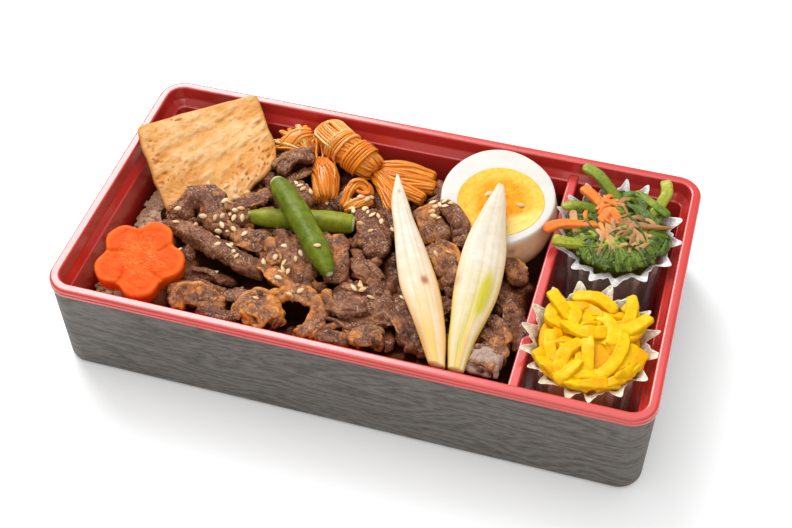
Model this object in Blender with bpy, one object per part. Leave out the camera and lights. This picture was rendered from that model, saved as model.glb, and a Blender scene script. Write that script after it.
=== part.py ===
# Sukiyaki bento: a lipped rectangular box with a stepped inner tray and one divider, beef on rice
# with its toppings in the long compartment, and two pleated film cups in the short one.
# Origin: centre of the underside. +X runs along the length to the cups, +Y to the far long side,
# +Z up. Sizes below are in millimetres; the mesh is written in metres.
import math

import bmesh
import bpy
import numpy as np
from mathutils import Matrix, Vector
from mathutils.bvhtree import BVHTree

MM = 0.001
GAP = 0.3

# Box and tray
LENGTH = 227.0
DEPTH = 122.4
HEIGHT = 43.5
CORNER = 10.0
INNER_CORNER = 3.0
FLOOR_TOP = 2.3
LIP_UNDER = 39.9
DIVIDER_X = 63.0
DIVIDER_TOP_WIDTH = 4.0
DIVIDER_FOOT_WIDTH = 5.6
DIVIDER_TOP = 37.5

# (inset from the lip's outer face, height) up the outside and down the inside
BOX_PROFILE = [(3.2, 0.0), (1.8, 0.3), (1.1, 1.9), (0.5, 39.6), (1.5, 39.6), (2.1, 2.4), (3.4, 1.2)]
TRAY_PROFILE = [(4.2, 1.5), (2.5, 2.6), (1.8, LIP_UNDER), (0.3, LIP_UNDER), (0.0, 40.3), (0.0, 41.3),
                (0.35, 41.6), (0.1, 41.9), (0.1, 42.6), (0.5, 43.3), (1.2, HEIGHT), (3.4, HEIGHT),
                (4.0, 43.1), (4.3, 38.3), (6.3, 35.3), (6.9, 35.0), (9.2, 4.2), (10.2, 2.7),
                (11.6, FLOOR_TOP)]

# Food
RICE_LEVEL = 22.0
MEAT_LEVEL = 34.6
TOFU_THICK = 3.6
CARROT_RADIUS = 17.0
CARROT_THICK = 7.0
BEAN_OVER = (9.4, 8.2)
BEAN_UNDER = (8.6, 8.0)
CUP_FOOT = 16.5
PLEATS = 16
FILM = 0.3
SEED_SIZE = (3.2, 1.9, 1.1)
GRAIN_SIZE = (5.4, 2.6, 2.2)

NAME = "sukiyaki_bento"
for old in list(bpy.data.objects):
    bpy.data.objects.remove(old, do_unlink=True)
parts = bpy.data.collections.new(NAME)
cutters = bpy.data.collections.new(NAME + "_cutters")
bpy.context.scene.collection.children.link(parts)
bpy.context.scene.collection.children.link(cutters)


def material(name, colour, roughness, metallic=0.0):
    """A Principled material of one colour."""
    made = bpy.data.materials.new(name)
    made.use_nodes = True
    shader = made.node_tree.nodes["Principled BSDF"]
    shader.inputs["Base Color"].default_value = (*colour, 1.0)
    shader.inputs["Roughness"].default_value = roughness
    shader.inputs["Metallic"].default_value = metallic
    made.diffuse_color = (*colour, 1.0)
    return made


MAT = {
    "grey_board": material("grey_board", (0.15, 0.13, 0.12), 0.6),
    "red_plastic": material("red_plastic", (0.46, 0.02, 0.012), 0.25),
    "rice": material("rice", (0.62, 0.47, 0.34), 0.5),
    "beef": material("beef", (0.10, 0.035, 0.016), 0.4),
    "fried_tofu": material("fried_tofu", (0.80, 0.44, 0.14), 0.6),
    "carrot": material("carrot", (0.93, 0.13, 0.01), 0.4),
    "green_bean": material("green_bean", (0.13, 0.26, 0.02), 0.35),
    "leek": material("leek", (0.82, 0.76, 0.58), 0.4),
    "shirataki": material("shirataki", (0.72, 0.20, 0.02), 0.3),
    "egg_white": material("egg_white", (0.90, 0.87, 0.82), 0.35),
    "egg_yolk": material("egg_yolk", (0.93, 0.42, 0.02), 0.6),
    "film": material("film", (0.75, 0.74, 0.72), 0.15),
    "greens": material("greens", (0.03, 0.10, 0.02), 0.4),
    "pickle": material("pickle", (0.96, 0.66, 0.01), 0.3),
}


def solid(name, points, faces, slot, home=parts):
    """A closed mesh object from points in millimetres, its faces turned outward."""
    mesh = bpy.data.meshes.new(name)
    scaled = (np.asarray(points, float) * MM).tolist()
    mesh.from_pydata(scaled, [], faces)
    work = bmesh.new()
    work.from_mesh(mesh)
    bmesh.ops.remove_doubles(work, verts=work.verts, dist=1e-7)
    bmesh.ops.triangulate(work, faces=work.faces)
    bmesh.ops.recalc_face_normals(work, faces=work.faces)
    if work.calc_volume(signed=True) < 0.0:
        bmesh.ops.reverse_faces(work, faces=work.faces)
    work.to_mesh(mesh)
    work.free()
    mesh.materials.append(MAT[slot])
    mesh.polygons.foreach_set("use_smooth", [True] * len(mesh.polygons))
    made = bpy.data.objects.new(name, mesh)
    home.objects.link(made)
    if home is cutters:
        made.hide_render = True
        made.display_type = "WIRE"
    return made


def loft(name, rings, slot, home=parts, closed=False):
    """Bridge rings of the same point count; cap both ends, or join the last ring to the first."""
    rings = np.asarray(rings, float)
    count, sides = rings.shape[0], rings.shape[1]
    faces = []
    for i in range(count if closed else count - 1):
        j = (i + 1) % count
        for k in range(sides):
            m = (k + 1) % sides
            faces.append((i * sides + k, i * sides + m, j * sides + m, j * sides + k))
    points = rings.reshape(-1, 3)
    if not closed:
        heads = np.array([rings[0].mean(axis=0), rings[-1].mean(axis=0)])
        points = np.vstack([points, heads])
        base = count * sides
        for k in range(sides):
            m = (k + 1) % sides
            faces.append((base, m, k))
            faces.append((base + 1, (count - 1) * sides + k, (count - 1) * sides + m))
    return solid(name, points, faces, slot, home)


def rounded_rectangle(half_x, half_y, radius, z, steps=4):
    """Ring of points: four quarter arcs of the given radius joined by straight sides."""
    ring = []
    for quarter in range(4):
        sx = (1, -1, -1, 1)[quarter]
        sy = (1, 1, -1, -1)[quarter]
        for step in range(steps + 1):
            angle = math.pi / 2 * (quarter + step / steps)
            ring.append((sx * (half_x - radius) + radius * math.cos(angle),
                         sy * (half_y - radius) + radius * math.sin(angle), z))
    return ring


def shell(name, profile, slot, extra=0.0, home=parts):
    """Rounded rectangle rings up the outside of a profile and down the inside."""
    rings = []
    for inset, z in profile:
        radius = max(CORNER - (inset + extra), INNER_CORNER)
        rings.append(rounded_rectangle(LENGTH / 2 - inset - extra, DEPTH / 2 - inset - extra, radius, z))
    return loft(name, rings, slot, home)


def spline(points, count):
    """Catmull-Rom curve through the points, sampled evenly in parameter."""
    given = np.asarray(points, float)
    if len(given) == 2:
        share = np.linspace(0.0, 1.0, count)[:, None]
        return given[0] * (1 - share) + given[1] * share
    padded = np.vstack([2 * given[0] - given[1], given, 2 * given[-1] - given[-2]])
    place = np.linspace(0.0, len(given) - 1 - 1e-9, count)
    out = []
    for value in place:
        i = int(value)
        t = value - i
        a, b, c, d = padded[i:i + 4]
        out.append(0.5 * (2 * b + (c - a) * t + (2 * a - 5 * b + 4 * c - d) * t * t
                          + (3 * b - a - 3 * c + d) * t ** 3))
    return np.array(out)


def frames(path, up=(0.0, 0.0, 1.0), turn=0.0):
    """Side and up directions square to the path at each of its points."""
    tangent = np.gradient(path, axis=0)
    tangent /= np.linalg.norm(tangent, axis=1)[:, None]
    side = np.cross(tangent, np.broadcast_to(np.asarray(up, float), tangent.shape))
    side /= np.linalg.norm(side, axis=1)[:, None]
    over = np.cross(side, tangent)
    turned = np.radians(np.broadcast_to(turn, (len(path),)))[:, None]
    return side * np.cos(turned) + over * np.sin(turned), over * np.cos(turned) - side * np.sin(turned)


def band(name, points, width, thick, slot, rings=8, sides=8, rough=0.0, seed=0, taper=0.55, turn=0.0,
         up=(0.0, 0.0, 1.0), home=parts, ridge=0.0):
    """A flattened tube along a curve: width across, thick through, narrowed at both ends."""
    rng = np.random.default_rng(seed)
    path = spline(points, rings)
    side, over = frames(path, up, turn)
    share = np.linspace(-1.0, 1.0, rings)
    swell = taper + (1 - taper) * np.sqrt(np.clip(1 - share ** 4, 0, 1))
    angle = np.arange(sides) * 2 * math.pi / sides + math.pi / sides
    made = []
    for i in range(rings):
        uneven = (1 + rough * rng.uniform(-1, 1, sides)) * (1 - ridge * (np.arange(sides) % 2))
        across = np.cos(angle) * width / 2 * swell[i] * uneven
        through = np.sin(angle) * thick / 2 * swell[i] * uneven
        made.append(path[i] + side[i] * across[:, None] + over[i] * through[:, None])
    return loft(name, made, slot, home)


def outline_board(name, left, right, thick, slot, stations=9, crown=1.0, home=parts, grow=0.0):
    """A board lofted between a left and a right edge curve, lens-shaped in section."""
    a = spline(left, stations)
    b = spline(right, stations)
    depth = np.interp(np.linspace(0, 1, stations), np.linspace(0, 1, len(thick)), thick) + 2 * grow
    middle = (a + b) / 2
    along = np.gradient(middle, axis=0)
    along /= np.linalg.norm(along, axis=1)[:, None]
    if grow:
        middle[0] -= along[0] * grow
        middle[-1] += along[-1] * grow
    across = (b - a) / 2
    reach = np.linalg.norm(across, axis=1)[:, None]
    across = across / reach * (reach + grow)
    normal = np.cross(across, along)
    normal /= np.linalg.norm(normal, axis=1)[:, None]
    normal *= np.sign(normal[:, 2:3])
    angle = np.arange(10) * 2 * math.pi / 10
    rings = []
    for i in range(stations):
        lift = np.sin(angle)
        lift = np.where(lift > 0, lift * crown, lift)
        rings.append(middle[i] + across[i] * np.cos(angle)[:, None]
                     + normal[i] * (lift * depth[i] / 2)[:, None])
    return loft(name, rings, slot, home)


def remove(objects):
    """Take objects and their meshes out of the file."""
    for made in list(objects):
        mesh = made.data
        bpy.data.objects.remove(made, do_unlink=True)
        bpy.data.meshes.remove(mesh)


def combine(target, tools, operation, solver="EXACT"):
    """Apply one Boolean of the target with every tool and remove the tools."""
    if not tools:
        return target
    bag = bpy.data.collections.new("bag")
    bpy.context.scene.collection.children.link(bag)
    for tool in tools:
        bag.objects.link(tool)
    step = target.modifiers.new("combine", "BOOLEAN")
    step.operation = operation
    step.operand_type = "COLLECTION"
    step.collection = bag
    step.solver = solver
    bpy.context.view_layer.update()
    seen = target.evaluated_get(bpy.context.evaluated_depsgraph_get())
    fresh = bpy.data.meshes.new_from_object(seen)
    target.modifiers.clear()
    old = target.data
    target.data = fresh
    bpy.data.meshes.remove(old)
    bpy.data.collections.remove(bag)
    remove(tools)
    return target


def main_body(target, merge=0.003, flat=0.0):
    """Merge near points, drop loose scraps and sealed pockets, keep the largest closed body."""
    work = bmesh.new()
    work.from_mesh(target.data)
    bmesh.ops.remove_doubles(work, verts=work.verts, dist=merge * MM)
    bmesh.ops.dissolve_degenerate(work, dist=merge * MM, edges=work.edges)
    if flat:
        bmesh.ops.dissolve_limit(work, angle_limit=math.radians(flat), verts=work.verts, edges=work.edges)
    bmesh.ops.triangulate(work, faces=work.faces)
    seen = set()
    groups = []
    for face in work.faces:
        if face in seen:
            continue
        group = [face]
        seen.add(face)
        for item in group:
            for edge in item.edges:
                for other in edge.link_faces:
                    if other not in seen:
                        seen.add(other)
                        group.append(other)
        groups.append(group)
    groups.sort(key=len, reverse=True)
    loose = [face for group in groups[1:] for face in group]
    bmesh.ops.delete(work, geom=loose, context="FACES")
    bmesh.ops.recalc_face_normals(work, faces=work.faces)
    if work.calc_volume(signed=True) < 0.0:
        bmesh.ops.reverse_faces(work, faces=work.faces)
    work.to_mesh(target.data)
    work.free()
    target.data.polygons.foreach_set("use_smooth", [True] * len(target.data.polygons))
    return target


# Box
outer_box = shell("outer_box", BOX_PROFILE, "grey_board")
tray = shell("tray", TRAY_PROFILE, "red_plastic")
foot = DIVIDER_FOOT_WIDTH / 2
head = DIVIDER_TOP_WIDTH / 2
divider_section = [(-foot, 1.9), (foot, 1.9), (head, DIVIDER_TOP - 0.5), (head - 0.5, DIVIDER_TOP),
                   (0.5 - head, DIVIDER_TOP), (-head, DIVIDER_TOP - 0.5)]
divider = loft("divider", [[(DIVIDER_X + x, y, z) for x, z in divider_section] for y in (-57.4, 57.4)],
               "red_plastic")
combine(tray, [divider], "UNION")
main_body(tray)

# Fried tofu: a slab leaning on the far left corner of the rim, its near edge bowed
TOFU_CORNERS = [(-112.8, 24.2, 47.3), (-72.1, 57.8, 46.8), (-53.8, 31.0, 40.0), (-84.5, -9.0, 34.2)]


def tofu_sheet(name, thick, slot, home=parts, grow=0.0, across=9, down=8):
    """Bilinear patch between four corners with a bowed near edge, thickened along its normal."""
    far_left, far_right, near_right, near_left = [np.array(p) for p in TOFU_CORNERS]
    normal = np.cross(far_right - far_left, near_left - far_left)
    normal /= np.linalg.norm(normal)
    normal *= np.sign(normal[2])
    s = np.linspace(0, 1, across)[None, :, None]
    t = np.linspace(0, 1, down)[:, None, None]
    middle = ((1 - s) * (1 - t) * far_left + s * (1 - t) * far_right
              + s * t * near_right + (1 - s) * t * near_left)
    outward = (near_left + near_right - far_left - far_right) / 2
    outward /= np.linalg.norm(outward)
    middle = middle + outward * (8.5 * t ** 2 * np.sin(math.pi * s) ** 0.8)
    middle = middle + (middle - middle.mean(axis=(0, 1))) * (grow / 24)
    edge = np.clip(np.minimum(np.minimum(s, 1 - s), np.minimum(t, 1 - t)) * 9, 0, 1)
    puff = 0.5 * np.sin(5.0 * s + 1.0) * np.sin(4.0 * t + 0.5)
    half = thick / 2 * (0.55 + 0.45 * np.sqrt(edge)) + grow
    top = middle + normal * (half + puff)
    low = middle - normal * (half - puff * 0.4)
    count = across * down
    points = np.vstack([top.reshape(-1, 3), low.reshape(-1, 3)])
    faces = []
    for i in range(down - 1):
        for j in range(across - 1):
            a = i * across + j
            quad = (a, a + 1, a + across + 1, a + across)
            faces.append(quad)
            faces.append(tuple(count + k for k in reversed(quad)))
    ring = ([(0, j) for j in range(across)] + [(i, across - 1) for i in range(1, down)]
            + [(down - 1, j) for j in range(across - 2, -1, -1)] + [(i, 0) for i in range(down - 2, 0, -1)])
    ids = [i * across + j for i, j in ring]
    for k in range(len(ids)):
        a, b = ids[k], ids[(k + 1) % len(ids)]
        faces.append((b, a, count + a, count + b))
    return solid(name, points, faces, slot, home)


tofu = tofu_sheet("tofu", TOFU_THICK, "fried_tofu")
tofu_room = tofu_sheet("tofu_room", TOFU_THICK, "fried_tofu", cutters, grow=0.6)

# Carrot flower: a five-petal prism tilted to the near side
CARROT_CENTRE = (-84.4, -36.9, 42.5)
PETAL_ANGLES = (146, 80, 7, -69, -144)


def flower(name, radius, thick, slot, home=parts, grow=0.0, steps=7):
    """Five round petals: rings with a rolled edge, stacked along a tilted axis."""
    tilt = math.radians(10)
    normal = np.array([0.291 * math.sin(tilt), -0.957 * math.sin(tilt), math.cos(tilt)])
    right = np.cross((0, 1, 0), normal)
    right /= np.linalg.norm(right)
    ahead = np.cross(normal, right)
    reach = []
    angles = []
    for petal in range(5):
        start = PETAL_ANGLES[petal]
        end = PETAL_ANGLES[(petal + 1) % 5]
        if end > start:
            end -= 360
        for step in range(steps):
            share = step / steps
            angles.append(math.radians(start + (end - start) * share))
            reach.append(0.985 - 0.19 * math.sin(math.pi * share) ** 4)
    angles = np.array(angles)
    reach = np.array(reach)
    rings = []
    for size, height in ((0.90, 0.0), (0.985, -0.45), (1.0, -1.4), (0.99, -thick + 1.0), (0.95, -thick)):
        depth = height + (grow if height == 0.0 else -grow if height == -thick else 0.0)
        edge = reach * radius * size + grow
        rings.append(np.array(CARROT_CENTRE) + right * (edge * np.cos(angles))[:, None]
                     + ahead * (edge * np.sin(angles))[:, None] + normal * depth)
    return loft(name, rings, slot, home)


carrot = flower("carrot", CARROT_RADIUS, CARROT_THICK, "carrot")
carrot_room = flower("carrot_room", CARROT_RADIUS, CARROT_THICK, "carrot", cutters, grow=0.4)

# Two green beans, one across the other
OVER_PATH = [(-47.6, 12.2, 46.9), (-37.0, 1.5, 46.4), (-24.5, -12.5, 45.6), (-12.4, -26.7, 43.6)]
UNDER_PATH = [(-56.6, -1.8, 37.6), (-42.0, 1.2, 37.2), (-27.0, 4.2, 37.3), (-13.4, 5.8, 37.6)]


def bean(name, path, size, taper, grow=0.0, home=parts):
    """A round pod with gentle swells where the beans lie and narrowed ends."""
    line = spline(path, 11)
    if grow:
        ends = np.array([line[1] - line[0], line[-1] - line[-2]])
        ends /= np.linalg.norm(ends, axis=1)[:, None]
        line[0] -= ends[0] * grow
        line[-1] += ends[1] * grow
    side, over = frames(line)
    share = np.linspace(0, 1, 11)
    size_along = np.interp(share, *taper) * (1 + 0.03 * np.sin(share * 19))
    angle = np.arange(10) * math.pi / 5
    rings = [line[i] + side[i] * ((size[0] / 2 * size_along[i] + grow) * np.cos(angle))[:, None]
             + over[i] * ((size[1] / 2 * size_along[i] + grow) * np.sin(angle))[:, None] for i in range(11)]
    return loft(name, rings, "green_bean", home)


OVER_TAPER = ([0, 0.05, 0.16, 0.5, 0.8, 0.93, 0.985, 1], [0.42, 0.66, 0.92, 1.0, 0.96, 0.74, 0.48, 0.2])
UNDER_TAPER = ([0, 0.04, 0.2, 0.6, 0.9, 0.97, 1], [0.35, 0.55, 0.9, 1.0, 0.98, 0.86, 0.62])
bean_over = bean("bean_over", OVER_PATH, BEAN_OVER, OVER_TAPER)
bean_under = bean("bean_under", UNDER_PATH, BEAN_UNDER, UNDER_TAPER)
bean_over_room = bean("bean_over_room", OVER_PATH, BEAN_OVER, OVER_TAPER, 0.35, cutters)
bean_under_room = bean("bean_under_room", UNDER_PATH, BEAN_UNDER, UNDER_TAPER, 0.35, cutters)

# Two long slices of leek, feet together at the near wall
LEEK_LEFT = ([(32.6, -54.2, 41.0), (21.8, -36.7, 41.7), (12.4, -21.3, 42.7), (5.0, -1.7, 44.2),
              (-0.9, 14.4, 45.8), (-3.0, 28.4, 47.0)],
             [(39.2, -54.8, 41.0), (34.2, -36.8, 41.7), (25.9, -17.4, 42.7), (11.9, 5.2, 44.2),
              (5.0, 16.2, 45.8), (-0.9, 26.0, 47.0)])
LEEK_RIGHT = ([(40.0, -54.8, 41.0), (37.0, -43.3, 41.7), (34.8, -30.5, 42.9), (32.8, -16.8, 44.4),
               (31.9, -2.4, 46.0), (32.8, 7.6, 47.6), (35.2, 19.4, 49.6), (37.4, 29.4, 51.2)],
              [(45.8, -55.0, 41.0), (46.5, -41.9, 41.7), (48.6, -28.3, 42.9), (49.5, -12.0, 44.4),
               (47.4, 1.5, 46.0), (45.0, 11.1, 47.6), (42.5, 21.2, 49.6), (40.0, 28.6, 51.2)])
LEEK_THICK = [4.0, 5.4, 5.6, 5.0, 4.2, 3.0, 1.6]
leek_left = outline_board("leek_left", *LEEK_LEFT, LEEK_THICK, "leek", crown=0.8)
leek_right = outline_board("leek_right", *LEEK_RIGHT, LEEK_THICK, "leek", crown=0.8)
leek_left_room = outline_board("leek_left_room", *LEEK_LEFT, LEEK_THICK, "leek", crown=0.8,
                               home=cutters, grow=0.4)
leek_right_room = outline_board("leek_right_room", *LEEK_RIGHT, LEEK_THICK, "leek", crown=0.8,
                                home=cutters, grow=0.4)

# Half egg: white with a recess, and the yolk that fills it
EGG_CENTRE = np.array((36.9, 29.9, 44.9))
EGG_HALF = (22.2, 23.8)
EGG_TILT = 0.085
YOLK_SHIFT = (1.6, -2.4)
YOLK_HALF = (16.6, 16.0)


def egg_ring(half_a, half_b, depth, shift=(0.0, 0.0), count=24):
    """An oval a little blunter to the right, at a depth below the tilted cut face."""
    angle = np.arange(count) * 2 * math.pi / count
    a = half_a * np.cos(angle) * (1 + 0.03 * np.cos(angle)) + shift[0]
    b = half_b * np.sin(angle) * (1 - 0.05 * np.cos(angle)) + shift[1]
    right = np.array((0.98, 0.19, 0.0))
    ahead = np.array((-0.19, 0.98, EGG_TILT))
    normal = np.cross(right, ahead)
    return EGG_CENTRE + right * a[:, None] + ahead * b[:, None] - normal * depth


def egg_body(name, home=parts, grow=0.0, solid_face=False):
    """Rings from the cut face down the rounded underside."""
    rings = []
    for depth, size in ((0.5, 1.0), (2.5, 1.02), (6.0, 1.02), (10.0, 0.96), (14.0, 0.83), (17.5, 0.62),
                        (19.8, 0.36)):
        shift = (0.05 * depth, -0.17 * depth)
        rings.append(egg_ring(EGG_HALF[0] * size + grow, EGG_HALF[1] * size + grow, depth, shift))
    rings = rings[::-1]
    rings.append(egg_ring(EGG_HALF[0] - 0.4 + grow, EGG_HALF[1] - 0.4 + grow, -grow))
    if not solid_face:
        rings.append(egg_ring(YOLK_HALF[0] + 0.35, YOLK_HALF[1] + 0.35, 0.05, YOLK_SHIFT))
        rings.append(egg_ring(YOLK_HALF[0] - 1.0, YOLK_HALF[1] - 1.0, 3.4, YOLK_SHIFT))
    return loft(name, rings, "egg_white", home)


egg_white = egg_body("egg_white")
egg_room = egg_body("egg_room", cutters, 0.4, True)
yolk_rings = [egg_ring(YOLK_HALF[0] - 2.0, YOLK_HALF[1] - 2.0, 3.0, YOLK_SHIFT),
              egg_ring(YOLK_HALF[0] - 0.1, YOLK_HALF[1] - 0.1, 0.4, YOLK_SHIFT),
              egg_ring(YOLK_HALF[0] - 0.5, YOLK_HALF[1] - 0.5, -0.2, YOLK_SHIFT),
              egg_ring(YOLK_HALF[0] * 0.6, YOLK_HALF[1] * 0.6, -0.6, YOLK_SHIFT)]
egg_yolk = loft("egg_yolk", yolk_rings, "egg_yolk")

# Noodle bundles along the far wall


def bundle(name, paths, strands, seed):
    """Ridged bands, one ridge a strand, joined in one body."""
    made = [band(name if k == 0 else name + "_arm", points, width, thick, "shirataki", 8, 2 * strands[k],
                 0.02, seed + k, 0.66, ridge=0.13) for k, (points, width, thick) in enumerate(paths)]
    combine(made[0], made[1:], "UNION", "MANIFOLD")
    return main_body(made[0])


KNOT = [([(-39.5, 50.4, 40.2), (-32.0, 44.6, 40.8), (-23.0, 39.6, 40.6), (-13.5, 35.4, 38.8)], 13.4, 12.0),
        ([(-13.0, 39.8, 37.4), (-2.0, 41.2, 37.6), (9.5, 39.6, 36.4)], 6.2, 6.0),
        ([(-12.0, 36.0, 37.4), (0.0, 35.0, 37.4), (11.4, 34.4, 36.4)], 6.6, 6.2),
        ([(-12.0, 34.6, 37.0), (-1.0, 30.4, 36.8), (8.4, 27.4, 35.8)], 6.0, 5.8),
        ([(-13.0, 35.4, 37.2), (-6.4, 27.6, 36.8), (-1.0, 18.6, 35.4)], 7.8, 6.5)]
MASS = [([(-38.2, 35.8, 35.4), (-32.6, 27.6, 37.6), (-28.8, 16.2, 35.8)], 11.2, 10.4)]
SMALL = [([(-21.6, 15.6, 35.2), (-21.2, 22.0, 37.4), (-18.6, 27.0, 37.8), (-14.8, 26.4, 37.2),
           (-12.4, 23.8, 36.0)], 4.6, 4.6),
         ([(-21.2, 15.4, 34.4), (-16.4, 18.4, 35.4), (-11.8, 22.6, 35.4)], 5.6, 5.6)]
LEFT = [([(-56.2, 41.0, 35.2), (-51.2, 46.0, 37.6), (-45.6, 49.6, 37.6)], 9.0, 7.0),
        ([(-49.5, 42.5, 35.0), (-43.5, 40.0, 35.4)], 6.5, 6.0)]
shirataki_knot = bundle("shirataki_knot", KNOT, (8, 5, 5, 5, 5), 31)
shirataki_mass = bundle("shirataki_mass", MASS, (7,), 41)
shirataki_small = bundle("shirataki_small", SMALL, (4, 4), 51)
shirataki_left = bundle("shirataki_left", LEFT, (6, 5), 61)

# Rice bed and the beef heaped on it
HEAP_X = (-103.0, 59.4)
HEAP_Y = (-51.2, 51.2)
SHOWN_RICE = 6.4
# Dark hollows between the slices: place, reach, depth
PITS = [(-54.0, -30.0, 9.0, 9.0), (-24.0, -39.0, 5.5, 9.0), (-15.0, 3.0, 6.0, 6.0), (-35.0, 30.0, 10.0, 5.0),
        (55.0, 8.0, 6.0, 9.0), (2.0, 46.0, 16.0, 6.0)]


def waves(x, y, seed, count=9, short=9.0, long=34.0):
    """Sum of sines of several lengths and directions, about -1 to 1."""
    rng = np.random.default_rng(seed)
    total = np.zeros_like(x)
    for _ in range(count):
        length = rng.uniform(short, long)
        turn = rng.uniform(0, math.pi)
        total = total + np.sin(2 * math.pi * (x * math.cos(turn) + y * math.sin(turn)) / length
                               + rng.uniform(0, 6.3))
    return total / math.sqrt(count * 1.6)


def rice_top(x, y):
    """A flat bed with a low swell where it shows between the left wall, the carrot and the tofu."""
    rise = SHOWN_RICE * np.exp(-((x + 90.0) / 9.0) ** 2)
    return RICE_LEVEL + rise * (1 + 0.06 * waves(x, y, 3))


def meat_top(x, y):
    """The uneven level between the slices, falling away at the walls and over the rice."""
    wall = np.minimum(np.minimum(x - HEAP_X[0], HEAP_X[1] - x), np.minimum(y - HEAP_Y[0], HEAP_Y[1] - y))
    fall = 3.4 * np.exp(-np.clip(wall, 0, 60) / 4.0)
    left = 13.0 * np.exp(-((x + 101.0) / 13.0) ** 2)
    back = 3.0 * np.exp(-((y - 50.0) / 9.0) ** 2)
    pits = 0
    for px, py, reach, deep in PITS:
        pits = pits + deep * np.exp(-((x - px) ** 2 + (y - py) ** 2) / reach ** 2)
    return MEAT_LEVEL + 1.2 * waves(x, y, 7) - fall - left - back - pits


def height_solid(name, xs, ys, top, floor, slot, home=parts):
    """Closed solid under a height field: grid on top, straight sides, one flat face below."""
    gx, gy = np.meshgrid(xs, ys)
    rows, columns = gx.shape
    high = np.maximum(top(gx, gy), floor + 0.5)
    points = np.stack([gx, gy, high], -1).reshape(-1, 3)
    faces = []
    for i in range(rows - 1):
        for j in range(columns - 1):
            a = i * columns + j
            faces.append((a, a + 1, a + columns + 1, a + columns))
    ring = ([(0, j) for j in range(columns)] + [(i, columns - 1) for i in range(1, rows)]
            + [(rows - 1, j) for j in range(columns - 2, -1, -1)] + [(i, 0) for i in range(rows - 2, 0, -1)])
    ids = [i * columns + j for i, j in ring]
    under = points[ids].copy()
    under[:, 2] = floor
    base = len(points)
    points = np.vstack([points, under])
    size = len(ids)
    for k in range(size):
        m = (k + 1) % size
        faces.append((ids[m], ids[k], base + k, base + m))
    faces.append(tuple(base + k for k in reversed(range(size))))
    return solid(name, points, faces, slot, home)


RICE_Y = (-50.4, 50.4)
shown_x = np.append(np.linspace(HEAP_X[0] + 0.8, -74.0, 9), HEAP_X[1])
rice = height_solid("rice", shown_x, np.linspace(*RICE_Y, 12), rice_top, 3.0, "rice")
rice_room = height_solid("rice_room", np.linspace(HEAP_X[0] - 1, -74.0, 8), np.linspace(-52.5, 52.5, 12),
                         lambda x, y: rice_top(x, y) + 0.9, 10.0, "rice", cutters)
beef = height_solid("beef", np.linspace(*HEAP_X, 19), np.linspace(*HEAP_Y, 13), meat_top,
                    RICE_LEVEL + 0.4, "beef")

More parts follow.
